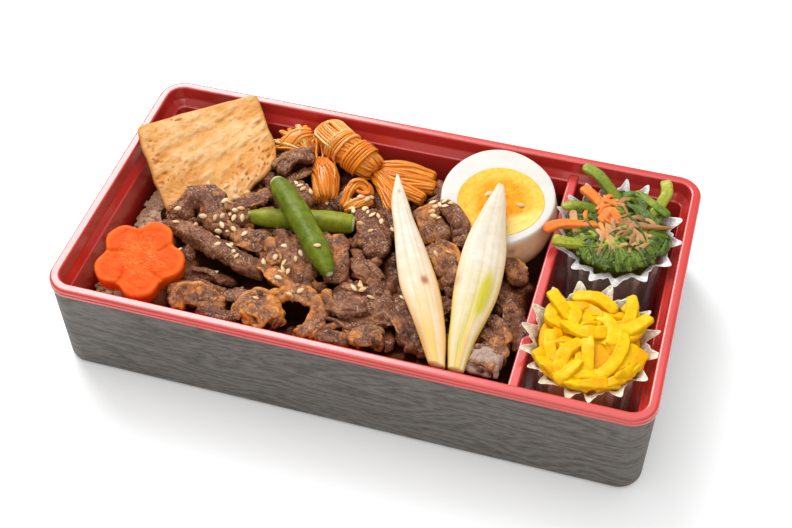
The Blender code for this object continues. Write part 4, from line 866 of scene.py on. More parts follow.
def slice_of_beef(points, width, thick, roll, seed, tone, fat, taper=0.5):
    """A crumpled slice: a flattened tube along the path, its width swelling and shrinking, its two
    sides pushed in and out by folds that run along it, sharp creases and fine lumps."""
    length = path_length(points)
    rings = int(length / MEAT_STEP)
    sides = int((width + thick) * 3.0)
    path = spline(points, rings)
    side, over = frames(path, turn=roll)
    share = np.linspace(-1.0, 1.0, rings)[:, None]
    swell = taper + (1 - taper) * np.sqrt(np.clip(1 - share ** 4, 0, 1))
    swell = swell * np.minimum(1, ((1 - np.abs(share)) * 5 + 0.03) ** 0.6)
    angle = around(sides)
    across, through = signed(np.cos(angle), 0.8), signed(np.sin(angle), 0.7)
    at = grid_of(share * length / 12, 0.0, seed * 3.1)
    left_edge, right_edge = [1 + 0.22 * noise(at, 0.5, seed + k) for k in (0, 1)]
    stretch = np.where(across > 0, right_edge, left_edge) * swell
    along, girth = share * length / 2, angle * (width + thick) / 4
    where = grid_of(along / 3.0, across * width / 2.2, seed * 7.7)
    ripple = noise(where, 1.6, seed + 5) * 0.09 * width + noise(where, 0.8, seed + 6) * 0.04 * width
    grid = carried(path, side, over, across * width / 2 * stretch, through * thick / 2 * swell + ripple)
    normal = grid_normals(grid)
    crease = (1 - np.abs(noise(grid, 3.8, seed + 8))) ** 7
    fibre = noise(grid_of(along * 0.35, girth, seed), 1.0, seed + 4)
    lump = (0.40 * rough(grid, 5.5, seed, 2) - 0.60 * crease + 0.20 * rough(grid, 1.2, seed + 3, 2, 0.8)
            + 0.20 * fibre)
    frill = np.abs(across) ** 6 * noise(grid, 1.6, seed + 9) * (0.5 + 0.8 * min(fat, 1))
    grid = grid + normal * ((lump + frill) * np.clip(swell, 0.1, 1) ** 0.5)[..., None]
    run = fibre_run(along, girth, seed * 9.0, seed)
    return (marked(grid, *meat_marks(grid, tone, fat, np.abs(across) ** 3, seed))
            + (np.vstack([run, np.zeros((2, 3))]),))


def meat_sheet(points, width, thick, roll, seed, tone, fat, sag=0.14, curl=0.0):
    """A thin crumpled slice: a sheet along the path with ragged edges, folded along and across, its
    middle arched and its edges curled."""
    length = path_length(points)
    rings, columns = max(int(length / MEAT_STEP), 10), max(int(width / MEAT_STEP), 8)
    path = spline(points, rings)
    side, over = frames(path, turn=roll)
    t = np.linspace(-1, 1, rings)[:, None]
    u = np.linspace(-1, 1, columns)[None, :]
    flat = grid_of(t * length / 2, u * width / 2, seed * 3.3)
    ragged = 1 + 0.26 * rough(grid_of(t * length / 2, np.sign(u) * 5.0, seed), 4.0, seed, 2)
    half = width / 2 * (0.55 + 0.45 * np.sqrt(np.clip(1 - np.abs(t) ** 3, 0, 1))) * ragged
    ends = 0.9 * noise(grid_of(np.sign(t) * 4.0, u * width / 2, seed), 2.6, seed + 1)
    fold = (0.95 * noise(flat @ np.diag((0.7, 1.3, 1)), 3.2, seed + 2) + 0.45 * noise(flat, 1.7, seed + 3)
            - 0.5 * (1 - np.abs(noise(flat, 3.0, seed + 4))) ** 4)
    lifted = np.clip(np.abs(u) - 0.6, 0, 1) ** 1.5 * (0.4 + noise(flat, 5.0, seed + 5))
    arch = -sag * width * u ** 2 + curl * width * lifted
    along = unit(np.gradient(path, axis=0))
    middle = (carried(path, side, over, half * u, fold + arch)
              + along[:, None] * (ends * np.abs(t) ** 3)[..., None])
    up = grid_normals(middle, wrap=False)
    up = up * np.sign((up * over[:, None]).sum(-1, keepdims=True))
    rim = np.minimum(1 - np.abs(u), (1 - np.abs(t)) * length / width)
    depth = thick / 2 * (0.25 + 0.75 * np.clip(rim * 5, 0, 1) ** 0.5)
    fine = 0.16 * rough(middle, 1.1, seed + 6, 2)
    top, low = middle + up * (depth + fine)[..., None], middle - up * (depth - fine * 0.5)[..., None]
    marks = meat_marks(middle, tone, fat, np.clip(1 - rim * 3.2, 0, 1), seed)
    run = fibre_run(flat[..., 0], flat[..., 1], flat[..., 2], seed)
    return flat_grid(top, low) + tuple(np.tile(mark.ravel(), 2) for mark in marks) + (np.tile(run, (2, 1)),)


SHEETS = {
    # label: path, width, thickness, roll, tone, share of fat, sag, curl
    "frill_left": ([(-42, -47, 36.6), (-38, -43.5, 38.4), (-33, -43, 38.2)],
                   9, 1.6, -8, 0.8, 1.0, 0.05, 0.4),
    "frill_right": ([(-35, -51, 37.4), (-30.5, -47.5, 38.8), (-28, -43.5, 38.2)],
                    8, 1.6, 10, 0.8, 1.0, 0.05, 0.5),
    "frill_tip": ([(-43.5, -43, 37), (-42, -47.5, 37.5), (-41, -51, 36.6)],
                  3.6, 1.4, 0, 0.9, 0.8, 0.1, 0.3),
    "rim_far": ([(-33, -38.5, 37.6), (-28, -35.6, 38.8), (-22, -35, 38.6), (-17, -38, 37.6)],
                5, 1.5, 22, 0.75, 0.7, 0.1, 0.3),
    "curl_top": ([(-16.5, -36, 37.4), (-13, -39, 38.2), (-12.5, -43, 37.6)],
                 4.6, 1.6, -20, 0.8, 0.9, 0.1, 0.4),
    "curl_low": ([(-12.5, -44, 37.4), (-14, -48.5, 38.0), (-18, -51.4, 36.8)],
                 4.6, 1.8, 14, 0.8, 1.0, 0.1, 0.4),
    "strip": ([(-17, -3, 40.4), (-14, -10, 41.4), (-11.5, -18, 40.8), (-10.5, -25, 38.6)],
              6.5, 1.8, 4, 0.9, 0.5, 0.1, 0.1),
    "strip_left": ([(-22, -5, 39.5), (-19.5, -10, 40.6), (-17, -17, 39.6)],
                   4.6, 1.5, -20, 0.5, 0.3, 0.1, 0.2),
    "hood_edge": ([(-72, 3, 41.6), (-67.5, 2, 41.6), (-64.5, -3, 40.0)], 4.6, 1.4, 24, 0.5, 0.6, 0.12, 0.4),
    "knob_curl": ([(-66, -2.5, 40.4), (-62, -1.2, 42.0), (-57, -3, 41.2), (-54, -6, 39.8)],
                  5.5, 1.5, 8, 0.9, 0.3, 0.16, 0.4),
    "knob_ribbon": ([(-66, -11, 38.4), (-60, -10, 39.6), (-55, -10, 39.2)],
                    3.4, 1.3, -16, 0.7, 0.6, 0.1, 0.5),
    "ledge_top": ([(-58, -12.5, 38.6), (-52, -13.6, 40.2), (-45, -12.5, 40.0), (-41, -13, 38.4)],
                  6.5, 1.5, -14, 0.75, 0.2, 0.14, 0.3),
    "big_left": ([(-43, -13, 39.4), (-39, -18, 40.8), (-35, -24, 40.4)],
                 5.4, 1.4, -26, 0.8, 0.7, 0.14, 0.3),
    "big_foot": ([(-37, -27, 39.4), (-31, -31, 40.4), (-24, -33, 39.2)], 5.6, 1.6, 10, 0.8, 0.8, 0.12, 0.5),
    "big_right": ([(-22, -22, 39.6), (-20.5, -27, 39.4), (-19, -32, 37.8)],
                  4.4, 1.4, 24, 0.6, 0.4, 0.12, 0.3),
    "front_top": ([(-71, -44, 36.6), (-64, -43, 38.6), (-57, -43, 38.2), (-50, -44.5, 36.6)],
                  5.6, 1.6, -18, 0.8, 0.5, 0.14, 0.5),
    "front_crest": ([(-66, -45, 39.2), (-58, -44, 40.2), (-50, -46.5, 38.6)],
                    5, 1.5, -24, 0.8, 0.8, 0.12, 0.5),
    "front_low": ([(-56, -49.5, 37.6), (-51, -48, 38.8), (-46, -48.8, 37.6)],
                  5, 1.5, 0, 0.8, 0.7, 0.14, 0.5),
    "front_dark": ([(-52, -42, 36.6), (-46, -41, 37.6), (-40, -41.5, 36.2)],
                   5.5, 1.5, 12, 0.3, 0.1, 0.14, 0.3),
    "post_left": ([(-12.5, 9, 39.0), (-9.5, 2, 40.4), (-7.5, -5, 39.2)],
                  4.6, 1.3, -24, 0.5, 0.3, 0.12, 0.3),
    "post_foot": ([(-10, -7, 37.6), (-6, -11, 38.4), (-2.5, -16, 37.4)], 4.4, 1.4, 10, 0.8, 0.5, 0.12, 0.4),
    "post_twist": ([(1.5, -9, 37.4), (-0.5, -14, 38.6), (-1.5, -19, 38.0)],
                   3.6, 1.3, 20, 0.8, 0.4, 0.12, 0.4),
    "grey_fold": ([(-9, -13, 38.4), (-3.5, -17, 39.9), (3, -21, 39.0)], 6, 1.4, 8, 0.95, 0.0, 0.14, 0.3),
    "slab_edge": ([(-12.5, -31, 40.4), (-11, -35.5, 40.2), (-9, -39.5, 38.2)],
                  4.2, 1.3, -26, 0.6, 0.6, 0.14, 0.4),
    "slab_far": ([(-8, -28, 40.9), (0, -27.5, 42.0), (8, -26.5, 41.2)], 4.8, 1.2, 20, 0.7, 0.2, 0.14, 0.2),
    "slab_foot": ([(-7, -39.5, 39.0), (0, -40.5, 39.6), (7, -38.5, 40.0), (12, -37, 38.8)],
                  4.6, 1.4, -8, 0.5, 0.4, 0.14, 0.5),
    "fat_knob": ([(6.5, -36, 39.5), (8.5, -39, 40.2), (10, -42, 38.8)], 5.0, 1.5, 0, 0.9, 0.7, 0.16, 0.5),
    "fat_wing": ([(-1.5, -45.5, 38.4), (4, -46, 39.9), (9, -43.5, 39.4), (12, -45, 38.0)],
                 6.2, 1.6, -8, 0.9, 1.0, 0.14, 0.5),
    "tip_left": ([(-9, -46.5, 37.0), (-3.5, -44.5, 38.4), (0.5, -43, 38.0)],
                 3.6, 1.4, 10, 0.8, 0.4, 0.12, 0.5),
    "mid_far": ([(11, 13, 41.0), (16, 17.5, 42.6), (22, 17, 42.2), (27, 12.5, 40.2)],
                6, 1.5, 0, 0.9, 1.0, 0.14, 0.4),
    "mid_fold": ([(11.5, 15, 42.2), (15, 9, 42.4), (18.5, 3, 40.2)], 7.5, 1.5, -10, 1.0, 1.0, 0.14, 0.4),
    "mid_amber": ([(19, 13, 42.6), (21.5, 8, 42.4), (23, 2.5, 40.4)], 6.5, 1.5, 8, 1.0, 1.0, 0.14, 0.4),
    "mid_low": ([(17, -1, 40.2), (22.5, -2.5, 41.4), (27, -7, 40.6), (29, -13, 38.4)],
                6.5, 1.4, 6, 0.95, 0.5, 0.14, 0.2),
    "right_roll": ([(46, 2, 36.0), (50.5, 3, 37.6), (55.5, 1, 36.6)], 5, 1.5, -10, 0.7, 0.7, 0.14, 0.4),
    "right_fold": ([(48, -12, 38.0), (52.5, -17, 39.4), (56.5, -23, 38.6)],
                   5.5, 1.4, 14, 0.1, 0.15, 0.14, 0.4),
    "right_wave": ([(47, -27, 38.4), (52, -29.5, 39.6), (57, -33, 38.2)],
                   5.5, 1.4, -10, 0.8, 0.6, 0.14, 0.5),
    "right_curl": ([(50, -35, 38.4), (54.5, -37.5, 39.2), (57, -42, 37.8)],
                   5, 1.5, 10, 0.8, 0.9, 0.14, 0.5),
    "purple_fold": ([(-51, 25.5, 41.4), (-46, 31, 43.2), (-40.5, 35.5, 42.0)],
                    4.6, 1.2, -14, 1.0, 0.0, 0.14, 0.4),
    "purple_side": ([(-47, 20, 38.8), (-42.5, 24.5, 40.2), (-38, 30, 39.4)],
                    5, 1.3, 20, 0.9, 0.0, 0.14, 0.3),
    "carrot_gap": ([(-67, -30.5, 35.0), (-60, -30.2, 35.4), (-53, -33, 33.4)],
                   2.6, 1.2, 0, 0.5, 0.1, 0.1, 0.4),
    "over_egg": ([(16.5, 16.5, 42.5), (20.5, 17.0, 46.6), (25.0, 13.5, 46.2), (28.5, 7.5, 43.6),
                  (28.5, 3.0, 40.5)],
                 7.0, 2.4,
                 -10, 0.35, 0.15, 0.12, 0.3),
    "pale_near": ([(44, -47.5, 38.8), (50, -49.5, 40.0), (57, -48.5, 39.0)],
                  8, 2.6, -28, 1.0, 0.0, 0.1, 0.2),
    "left_fold": ([(-87, -6.5, 37.0), (-83, -3.5, 39.4), (-79.5, -2.5, 40.2)],
                  3.8, 1.4, 16, 0.9, 0.1, 0.1, 0.3),
}


# The dark gap under the long slice, kept clear of shreds
GAP_X = (-74, -40)
GAP_Y = (-38, -23)


def laid_shred(rng, k):
    """A short shred on the heap at a random place and turn, or None where it would meet a wall."""
    x, y = rng.uniform(-90, 57), rng.uniform(-49, 44)
    turn = rng.uniform(0, TURN)
    half = rng.uniform(2.6, 6.0)
    if GAP_X[0] < x < GAP_X[1] and GAP_Y[0] < y < GAP_Y[1]:
        return None
    z = float(meat_top(np.array(x), np.array(y))) + rng.uniform(0.4, 1.8)
    run = np.array((math.cos(turn), math.sin(turn), 0.0)) * half
    side_step = np.array((-run[1], run[0], 0.0)) * rng.uniform(-0.5, 0.5)
    end, middle = np.array((x, y, z - 1.4)), np.array((x, y, z + 0.7))
    points = [end - run, middle + side_step, end + run]
    width, roll, tone = rng.uniform(2.8, 6.5), rng.uniform(-30, 30), rng.uniform(0.1, 0.9)
    fat = rng.choice((0.0, 0.1, 0.5, 0.9))
    if points[0][0] < -96 or points[2][0] > 58.5 or max(abs(points[0][1]), abs(points[2][1])) > 50.5:
        return None
    if k % 3:
        return meat_sheet(points, width, rng.uniform(1.1, 1.8), roll, 300 + k, tone, fat,
                          rng.uniform(0.1, 0.2), 0.4)
    return slice_of_beef(points, width, rng.uniform(1.8, 3.0), roll, 300 + k, tone, fat)


core = bed(HEAP_X, HEAP_Y, 0.6, meat_core, 22.5)
slices = [slice_of_beef(path, width, thick, roll, 100 + order, tone, fat)
          for order, (path, width, thick, roll, tone, fat) in enumerate(SLICES.values())]
sheets = [meat_sheet(path, width, thick, roll, 200 + order, tone, fat, sag, curl)
          for order, (path, width, thick, roll, tone, fat, sag, curl) in enumerate(SHEETS.values())]
# Slices that carry no loose flaps
SMOOTH_SLICES = ("hood", "long", "big", "post", "slab", "roll", "knobs", "carrot_side")
rng = np.random.default_rng(88)
flaps = []
for order, (label, (points, width, thick, roll, tone, fat)) in enumerate(SLICES.items()):
    if label in SMOOTH_SLICES:
        continue
    path = spline(points, 7)
    side, over = frames(path, turn=roll)
    for hand in (-1, 1):
        first, last = rng.integers(0, 3), rng.integers(4, 7)
        shift = side * hand * width * rng.uniform(0.20, 0.34) + over * (thick / 2 - rng.uniform(0.0, 0.5))
        stretch = (path + shift)[first:last + 1:2 if last - first > 3 else 1]
        flaps.append(meat_sheet(stretch, width * rng.uniform(0.4, 0.6), rng.uniform(0.9, 1.4),
                                roll + hand * rng.uniform(4, 24), 400 + 2 * order + (hand > 0),
                                np.clip(tone + rng.uniform(-0.2, 0.4), 0, 1),
                                np.clip(fat + rng.uniform(-0.1, 0.5), 0, 1), rng.uniform(0.1, 0.2), 0.5))
rng = np.random.default_rng(77)
shreds = [shred for shred in (laid_shred(rng, k) for k in range(150)) if shred]
beef_look = beef_finish("simmered_beef")
# The hollow mark carries painted shade, and the tone mark carries painted highlight on raised points.
BEEF_MARKS = ("tone", "fat", "hollow", "run")
LEFT_SLICES = 23
parts = sunk([core + (0.15, 0.0, 0.0, core[0])] + slices + sheets + flaps + shreds)
pale = (1 + list(SLICES).index("right_near"), 1 + len(slices) + list(SHEETS).index("pale_near"))
BEEF_PIECES = {"beef_core": 1, "beef_slices_left": LEFT_SLICES,
               "beef_slices_right": len(slices) - LEFT_SLICES, "beef_folds": len(sheets),
               "beef_flaps": len(flaps), "beef_shreds": len(shreds)}
start = 0
for name, count in BEEF_PIECES.items():
    shown = [parts[k] for k in range(start, start + count) if k not in pale]
    piece(name, shown, beef_look, ["beef"], BEEF_MARKS)
    start += count
piece("beef_pale", [parts[k] for k in pale], beef_finish("pale_beef", 0.6), ["beef"], BEEF_MARKS)


# Fried tofu: one tilted sheet with a bowed near edge.
TOFU_CORNERS = [(-112.8, 24.2, 47.3), (-72.1, 57.8, 46.8), (-53.8, 31.0, 40.0), (-84.5, -9.0, 34.2)]
TOFU_THICK = 3.6


def tofu_sheet(across, down):
    """Bilinear patch between four corners, its near edge bowed out, its corners rounded, thickened
    along its normal. The skin carries slanting ridges, dents and small round pits."""
    far_left, far_right, near_right, near_left = [np.array(p) for p in TOFU_CORNERS]
    normal = np.cross(far_right - far_left, near_left - far_left)
    normal = normal / np.linalg.norm(normal) * np.sign(normal[2])
    s = np.linspace(0, 1, across)[None, :, None]
    t = np.linspace(0, 1, down)[:, None, None]
    # Squeeze the grid's corners in, so that the sheet's corners are rounded
    a, b = 2 * s - 1, 2 * t - 1
    pull = 0.055 * np.clip(np.abs(a * b), 0, 1) ** 10
    s, t = (a * (1 - pull) + 1) / 2, (b * (1 - pull) + 1) / 2
    far, near = (1 - s) * far_left + s * far_right, (1 - s) * near_left + s * near_right
    middle = (1 - t) * far + t * near
    ahead = near_left + near_right - far_left - far_right
    ahead = ahead / np.linalg.norm(ahead)
    middle = middle + ahead * (8.5 * t ** 2 * np.sin(math.pi * np.clip(s, 0, 1)) ** 0.8)
    rim = np.minimum(np.minimum(s, 1 - s), np.minimum(t, 1 - t))
    wobble = rough(middle, 8.0, 31, 2)[..., None] * np.clip(1 - rim * 9, 0, 1) ** 2
    middle = middle + unit(middle - middle.mean(axis=(0, 1))) * wobble * 0.7
    edge = np.clip(rim * 9, 0, 1)
    puff = 0.5 * np.sin(5.0 * s + 1.0) * np.sin(4.0 * t + 0.5)
    round_off = np.sqrt(np.clip(1 - (1 - np.clip(rim * 22, 0, 1)) ** 2, 0, 1))
    half = TOFU_THICK / 2 * (0.55 + 0.45 * np.sqrt(edge)) * (0.2 + 0.8 * round_off)
    u = s * 52 + 0 * t
    v = t * 48 + 0 * s
    at = np.concatenate([u, v, 0 * u], -1)
    slant = np.concatenate([(u * 0.95 - v * 0.30) * 0.42, u * 0.30 + v * 0.95, 0 * u], -1)
    ridge = rough(slant, 3.4, 35, 2)
    dent = noise(at, 2.3, 37)
    pits = np.clip((noise(at, 1.25, 38) - 0.45) * 4, 0, 1) * np.clip(noise(at, 14.0, 39) + 0.35, 0, 1)
    skin = (0.22 * rough(at, 9.0, 33, 2) + 0.42 * ridge + 0.20 * dent - 0.6 * pits
            + 0.10 * rough(at, 1.0, 40, 2))
    fade = np.clip(rim[..., 0] * 20, 0, 1)
    top = middle + normal * (half + puff + (skin * fade)[..., None])
    low = middle - normal * (half - puff * 0.4)
    # Painted highlight on the ridges and raised dents of the skin.
    pale = np.clip(0.25 + 0.55 * ridge + 0.35 * dent, 0, 1) * fade
    patchy = 0.35 + 0.65 * np.clip(noise(at, 6.0, 41) + 0.3, 0, 1)
    rim_mark = np.clip(1 - rim[..., 0] * 40, 0, 1) ** 1.5 * patchy
    under = np.full(pale.size, 0.85)
    return flat_grid(top, low) + (np.append((pits * fade * 0.8).ravel(), 0 * under),
                                  np.append(rim_mark.ravel(), under), np.append(pale.ravel(), 0 * under))


piece("tofu_skin", [tofu_sheet(190, 170)], tofu_finish(), ["tofu"], ("pit", "rim", "pale"))


# Carrot flower.
CARROT_CENTRE = (-84.4, -36.9, 42.5)
CARROT_RADIUS = 17.0
PETAL_ANGLES = (146, 80, 7, -69, -144)


def flower(steps=44):
    """Five round petals with a rolled edge: rings over the face, round the rim and down the side."""
    tilt = math.radians(10)
    normal = np.array([0.291 * math.sin(tilt), -0.957 * math.sin(tilt), math.cos(tilt)])
    right = np.cross((0, 1, 0), normal)
    right = right / np.linalg.norm(right)
    ahead = np.cross(normal, right)
    share = np.tile(np.arange(steps) / steps, 5)
    start = np.repeat(PETAL_ANGLES, steps).astype(float)
    end = np.repeat(np.roll(PETAL_ANGLES, -1), steps).astype(float)
    end = np.where(end > start, end - 360, end)
    angle = np.radians(start + (end - start) * share)
    reach = 1.0 - 0.19 * np.sin(math.pi * share) ** 4 + 0.012 * np.sin(5 * angle + 1)
    profile = [(s, 0.0) for s in np.linspace(0.03, 0.86, 26)]
    profile += [(0.90, -0.02), (0.935, -0.08), (0.962, -0.2), (0.985, -0.45), (0.997, -0.9), (1.0, -1.6)]
    profile += [(1.0 - 0.002 * k, -1.6 - 0.42 * k) for k in range(1, 11)]
    profile += [(0.975, -6.3), (0.95, -6.8), (0.9, -7.0), (0.6, -7.0), (0.2, -7.0)]
    size = np.array([s for s, _ in profile])[:, None]
    depth = np.array([d for _, d in profile])[:, None]
    edge = np.where(size > 0.5, reach, 1 - (1 - reach) * size * 2) * CARROT_RADIUS * size
    grid = (np.array(CARROT_CENTRE) + right * (edge * np.cos(angle))[..., None]
            + ahead * (edge * np.sin(angle))[..., None] + normal * depth[..., None])
    core = np.exp(-((size - 0.2) / 0.4) ** 2)
    rolled = np.exp(-((size - 0.93) / 0.05) ** 2) * (depth > -1.2)
    flat = grid @ np.stack([right, ahead, normal * 0], 1)
    dimple = -0.35 * np.clip(noise(flat, 6.0, 45), 0, 1) + 0.09 * rough(flat, 2.0, 46, 3)
    dimple = dimple - 0.05 * np.exp(-(noise(flat @ np.diag((0.35, 1.2, 1.0)), 1.6, 47) / 0.2) ** 2)
    notch = (share - 0.5) * np.radians(end - start) * CARROT_RADIUS * size + 5.0 * (1 - size) ** 2
    crease = np.exp(-(notch / 0.9) ** 2) * np.clip((size - 0.36) * 4, 0, 1)
    dimple = dimple - 0.7 * crease + 0.35 * np.clip(noise(flat, 4.0, 49), -1, 1) * np.clip(1.2 - size, 0, 1)
    dimple = dimple - 0.22 * np.exp(-((size - 0.78 - 0.05 * np.cos(6 * angle)) / 0.035) ** 2)
    top = depth > -0.5
    body = 0.08 * rough(grid, 3.0, 48, 2)
    grid = (grid + normal * np.where(top, dimple, 0.0)[..., None]
            + grid_normals(grid) * np.where(top, 0, body)[..., None])
    return marked(grid, (core, 1.0, 0.0), rolled * 0.7)


piece("carrot_flower", [flower()], carrot_finish(), ["carrot"], ("core", "cut"))


# Green beans.
OVER_PATH = [(-47.6, 12.2, 46.9), (-37.0, 1.5, 46.4), (-24.5, -12.5, 45.6), (-12.4, -26.7, 43.6)]
UNDER_PATH = [(-56.6, -1.8, 37.6), (-42.0, 1.2, 37.2), (-27.0, 4.2, 37.3), (-13.4, 5.8, 37.6)]
# Share of the length, and share of the full width there
OVER_TAPER = ([0, 0.012, 0.05, 0.16, 0.5, 0.8, 0.93, 0.985, 1],
              [0.34, 0.5, 0.68, 0.92, 1.0, 0.96, 0.74, 0.48, 0.2])
UNDER_TAPER = ([0, 0.04, 0.2, 0.6, 0.9, 0.97, 1], [0.35, 0.55, 0.9, 1.0, 0.98, 0.86, 0.62])


def bean(path, width, high, taper, seed, tone, cuts, rings=110, sides=36):
    """A pod with slightly flattened sides: gentle swells over the seeds, a seam down each side, fine
    streaks along it, and a pale cut at each end over a share of its length."""
    line = spline(path, rings)
    side, over = frames(line)
    share = np.linspace(0, 1, rings)[:, None]
    size = np.interp(share, *taper) * (1 + 0.03 * np.sin(share * 19))
    angle = around(sides)
    streak = noise(grid_of(share * 3, 2.2 * np.cos(angle), 2.2 * np.sin(angle) + seed), 0.5, seed)
    seam = -0.03 * np.exp(-(np.sin(angle) / 0.16) ** 2)
    facet = 0.035 * np.cos(4 * angle + 0.8 + 1.5 * share)
    reach = size * (1 + 0.018 * streak + seam + facet)
    grid = carried(line, side, over, width / 2 * reach * np.cos(angle), high / 2 * reach * np.sin(angle))
    grid = grid + grid_normals(grid) * (0.10 * rough(grid, 2.6, seed, 2))[..., None]
    cut = np.maximum(np.clip(1 - share / cuts[0], 0, 1), np.clip(1 - (1 - share) / cuts[1], 0, 1)) ** 0.5
    return marked(grid, (tone + 0.25 * streak, tone, tone), (cut, 1.0, 1.0))


bean_look = bean_finish()
over_pod = bean(OVER_PATH, 9.4, 8.2, OVER_TAPER, 3, 0.18, (0.05, 0.003))
under_pod = bean(UNDER_PATH, 8.6, 8.0, UNDER_TAPER, 4, 0.75, (0.06, 0.012))
piece("bean_pod_over", [over_pod], bean_look, ["bean_over"], ("tone", "cut"))
piece("bean_pod_under", [under_pod], bean_look, ["bean_under"], ("tone", "cut"))


# Leeks.
LEEK_LEFT = ([(32.6, -54.2, 41.0), (21.8, -36.7, 41.7), (12.4, -21.3, 42.7), (5.0, -1.7, 44.2),
              (-0.9, 14.4, 45.8), (-3.0, 28.4, 47.0)],
             [(39.2, -54.8, 41.0), (34.2, -36.8, 41.7), (25.9, -17.4, 42.7), (11.9, 5.2, 44.2),
              (5.0, 16.2, 45.8), (-0.9, 26.0, 47.0)])
LEEK_RIGHT = ([(40.0, -54.8, 41.0), (37.0, -43.3, 41.7), (34.8, -30.5, 42.9), (32.8, -16.8, 44.4),
               (31.9, -2.4, 46.0), (32.8, 7.6, 47.6), (35.2, 19.4, 49.6), (37.4, 29.4, 51.2)],
              [(45.8, -55.0, 41.0), (46.5, -41.9, 41.7), (48.6, -28.3, 42.9), (49.5, -12.0, 44.4),
               (47.4, 1.5, 46.0), (45.0, 11.1, 47.6), (42.5, 21.2, 49.6), (40.0, 28.6, 51.2)])
LEEK_THICK = [4.0, 5.4, 5.6, 5.0, 4.2, 3.0, 1.6]
# Marks: share of the length, reach along, place across from -1 to 1, reach across, strength
LEFT_BROWNS = [(0.385, 0.018, 0.30, 0.17, 1.3), (0.86, 0.012, 0.1, 0.25, 0.8),
               (0.12, 0.10, -0.75, 0.22, 0.35), (0.26, 0.09, 0.7, 0.12, 0.2)]
RIGHT_BROWNS = [(0.42, 0.03, -0.9, 0.12, 0.5)]
RIGHT_GREENS = [(0.35, 0.10, 0.42, 0.30, 1.2)]


def leek(left, right, seed, browns, greens, stripes, tan, rings=130, sides=64):
    """A board between two edge curves, lens-shaped in section, with long fibre ridges, steps where
    the layers part, and marks for its cream, green, brown and shaded places."""
    a, b = spline(left, rings), spline(right, rings)
    share = np.linspace(0, 1, rings)[:, None]
    depth = np.interp(share, np.linspace(0, 1, len(LEEK_THICK)), LEEK_THICK)
    middle, across = (a + b) / 2, (b - a) / 2
    normal = unit(np.cross(across, unit(np.gradient(middle, axis=0))))
    normal = normal * np.sign(normal[:, 2:3])
    u, high = np.cos(around(sides)), np.sin(around(sides))

    def along(length, count, number):
        """Noise drawn out along the slice."""
        return noise(grid_of(share * length, u * count, seed), 1.0, seed + number)

    def patches(marks, power):
        """Soft ovals: the strength times e to the minus squared distance, raised to the power."""
        total = 0.0
        for centre, reach, centre_u, reach_u, strength in marks:
            away = ((share - centre) / reach) ** 2 + ((u - centre_u) / reach_u) ** 2
            total = total + strength * np.exp(-away ** power)
        return total

    ridge, fine, broad = along(1.4, 5.0, 0), along(2.4, 15.0, 2), along(2.2, 2.0, 3)
    step = (0.22 * np.clip((u - 0.30 - 0.2 * broad) * 9, 0, 1)
            - 0.18 * np.clip((u + 0.45 + 0.25 * broad) * 9, 0, 1))
    rise = np.where(high > 0, 0.13 * ridge + 0.05 * fine + step * np.sin(np.pi * share) ** 0.5, 0)
    wobble = 0.05 * along(9.0, 0.5, 5) * np.abs(u)
    lift = np.where(high > 0, 0.8 * high, high) * depth / 2 + rise * np.abs(high)
    grid = carried(middle, across, normal, u * (1 + 0.03 * ridge + wobble), lift)
    foot = np.clip((0.52 - share) / 0.45, 0, 1)
    rim = np.abs(u) ** 5
    cream = (rim * (0.6 + 0.4 * broad) + foot * (0.50 + tan + 0.5 * ridge + 0.4 * np.clip(fine, 0, 1))
             + (0.25 * np.clip(fine - 0.1, 0, 1) + 0.2 * np.clip(broad, 0, 1)) * (0.3 + foot))
    shade = (0.35 * np.clip(fine - 0.15, 0, 1) + 0.25 * np.clip(-ridge - 0.1, 0, 1)
             + 0.2 * np.exp(-((u - 0.33 - 0.2 * broad) / 0.05) ** 2) * foot)
    stripe = np.exp(-((u + 0.05 + 0.1 * broad) / 0.22) ** 2) + 0.6 * rim
    green = patches(greens, 2) + stripes * foot * stripe * (0.6 + 0.5 * fine)
    return marked(grid, cream, green, patches(browns, 1), shade)


leek_look = leek_finish()
LEEK_MARKS = ("cream", "green", "brown", "shade")
left_leek = leek(*LEEK_LEFT, 6, LEFT_BROWNS, [], 0.2, 0.25)
right_leek = leek(*LEEK_RIGHT, 8, RIGHT_BROWNS, RIGHT_GREENS, 1.8, 0.0)
piece("leek_slice_left", [left_leek], leek_look, ["leek_left"], LEEK_MARKS)
piece("leek_slice_right", [right_leek], leek_look, ["leek_right"], LEEK_MARKS)


# Half egg.
EGG_CENTRE = np.array((36.9, 29.9, 44.9))
EGG_HALF = (22.2, 23.8)
EGG_TILT = 0.085
YOLK_SHIFT = (1.3, -3.0)
YOLK_HALF = (16.6, 16.6)
EGG_SIDES = 120
EGG_SPOT = (48.8, 6.5, 39.5)
# Depth below the cut face, and share of the cut's size there
EGG_BODY = [(0.5, 1.0), (2.5, 1.02), (6.0, 1.04), (10.0, 1.01), (14.0, 0.92), (17.5, 0.75), (19.8, 0.46)]


def egg_ring(half_a, half_b, depth, shift=(0.0, 0.0)):
    """An oval a little blunter to the right, flattened at the far left and fuller at the near side,
    at a depth below the tilted cut face."""
    angle = around(EGG_SIDES)
    flat = np.exp(-((angle - math.radians(128)) / math.radians(36)) ** 2)
    near = np.exp(-((angle - math.radians(285)) / math.radians(45)) ** 2)
    reach = 1 - 0.065 * flat + 0.045 * near
    a = half_a * np.cos(angle) * (1 + 0.03 * np.cos(angle)) * reach + shift[0]
    b = half_b * np.sin(angle) * (1 - 0.05 * np.cos(angle)) * reach + shift[1]
    right = np.array((0.98, 0.19, 0.0))
    ahead = np.array((-0.19, 0.98, EGG_TILT))
    return EGG_CENTRE + right * a[:, None] + ahead * b[:, None] - np.cross(right, ahead) * depth


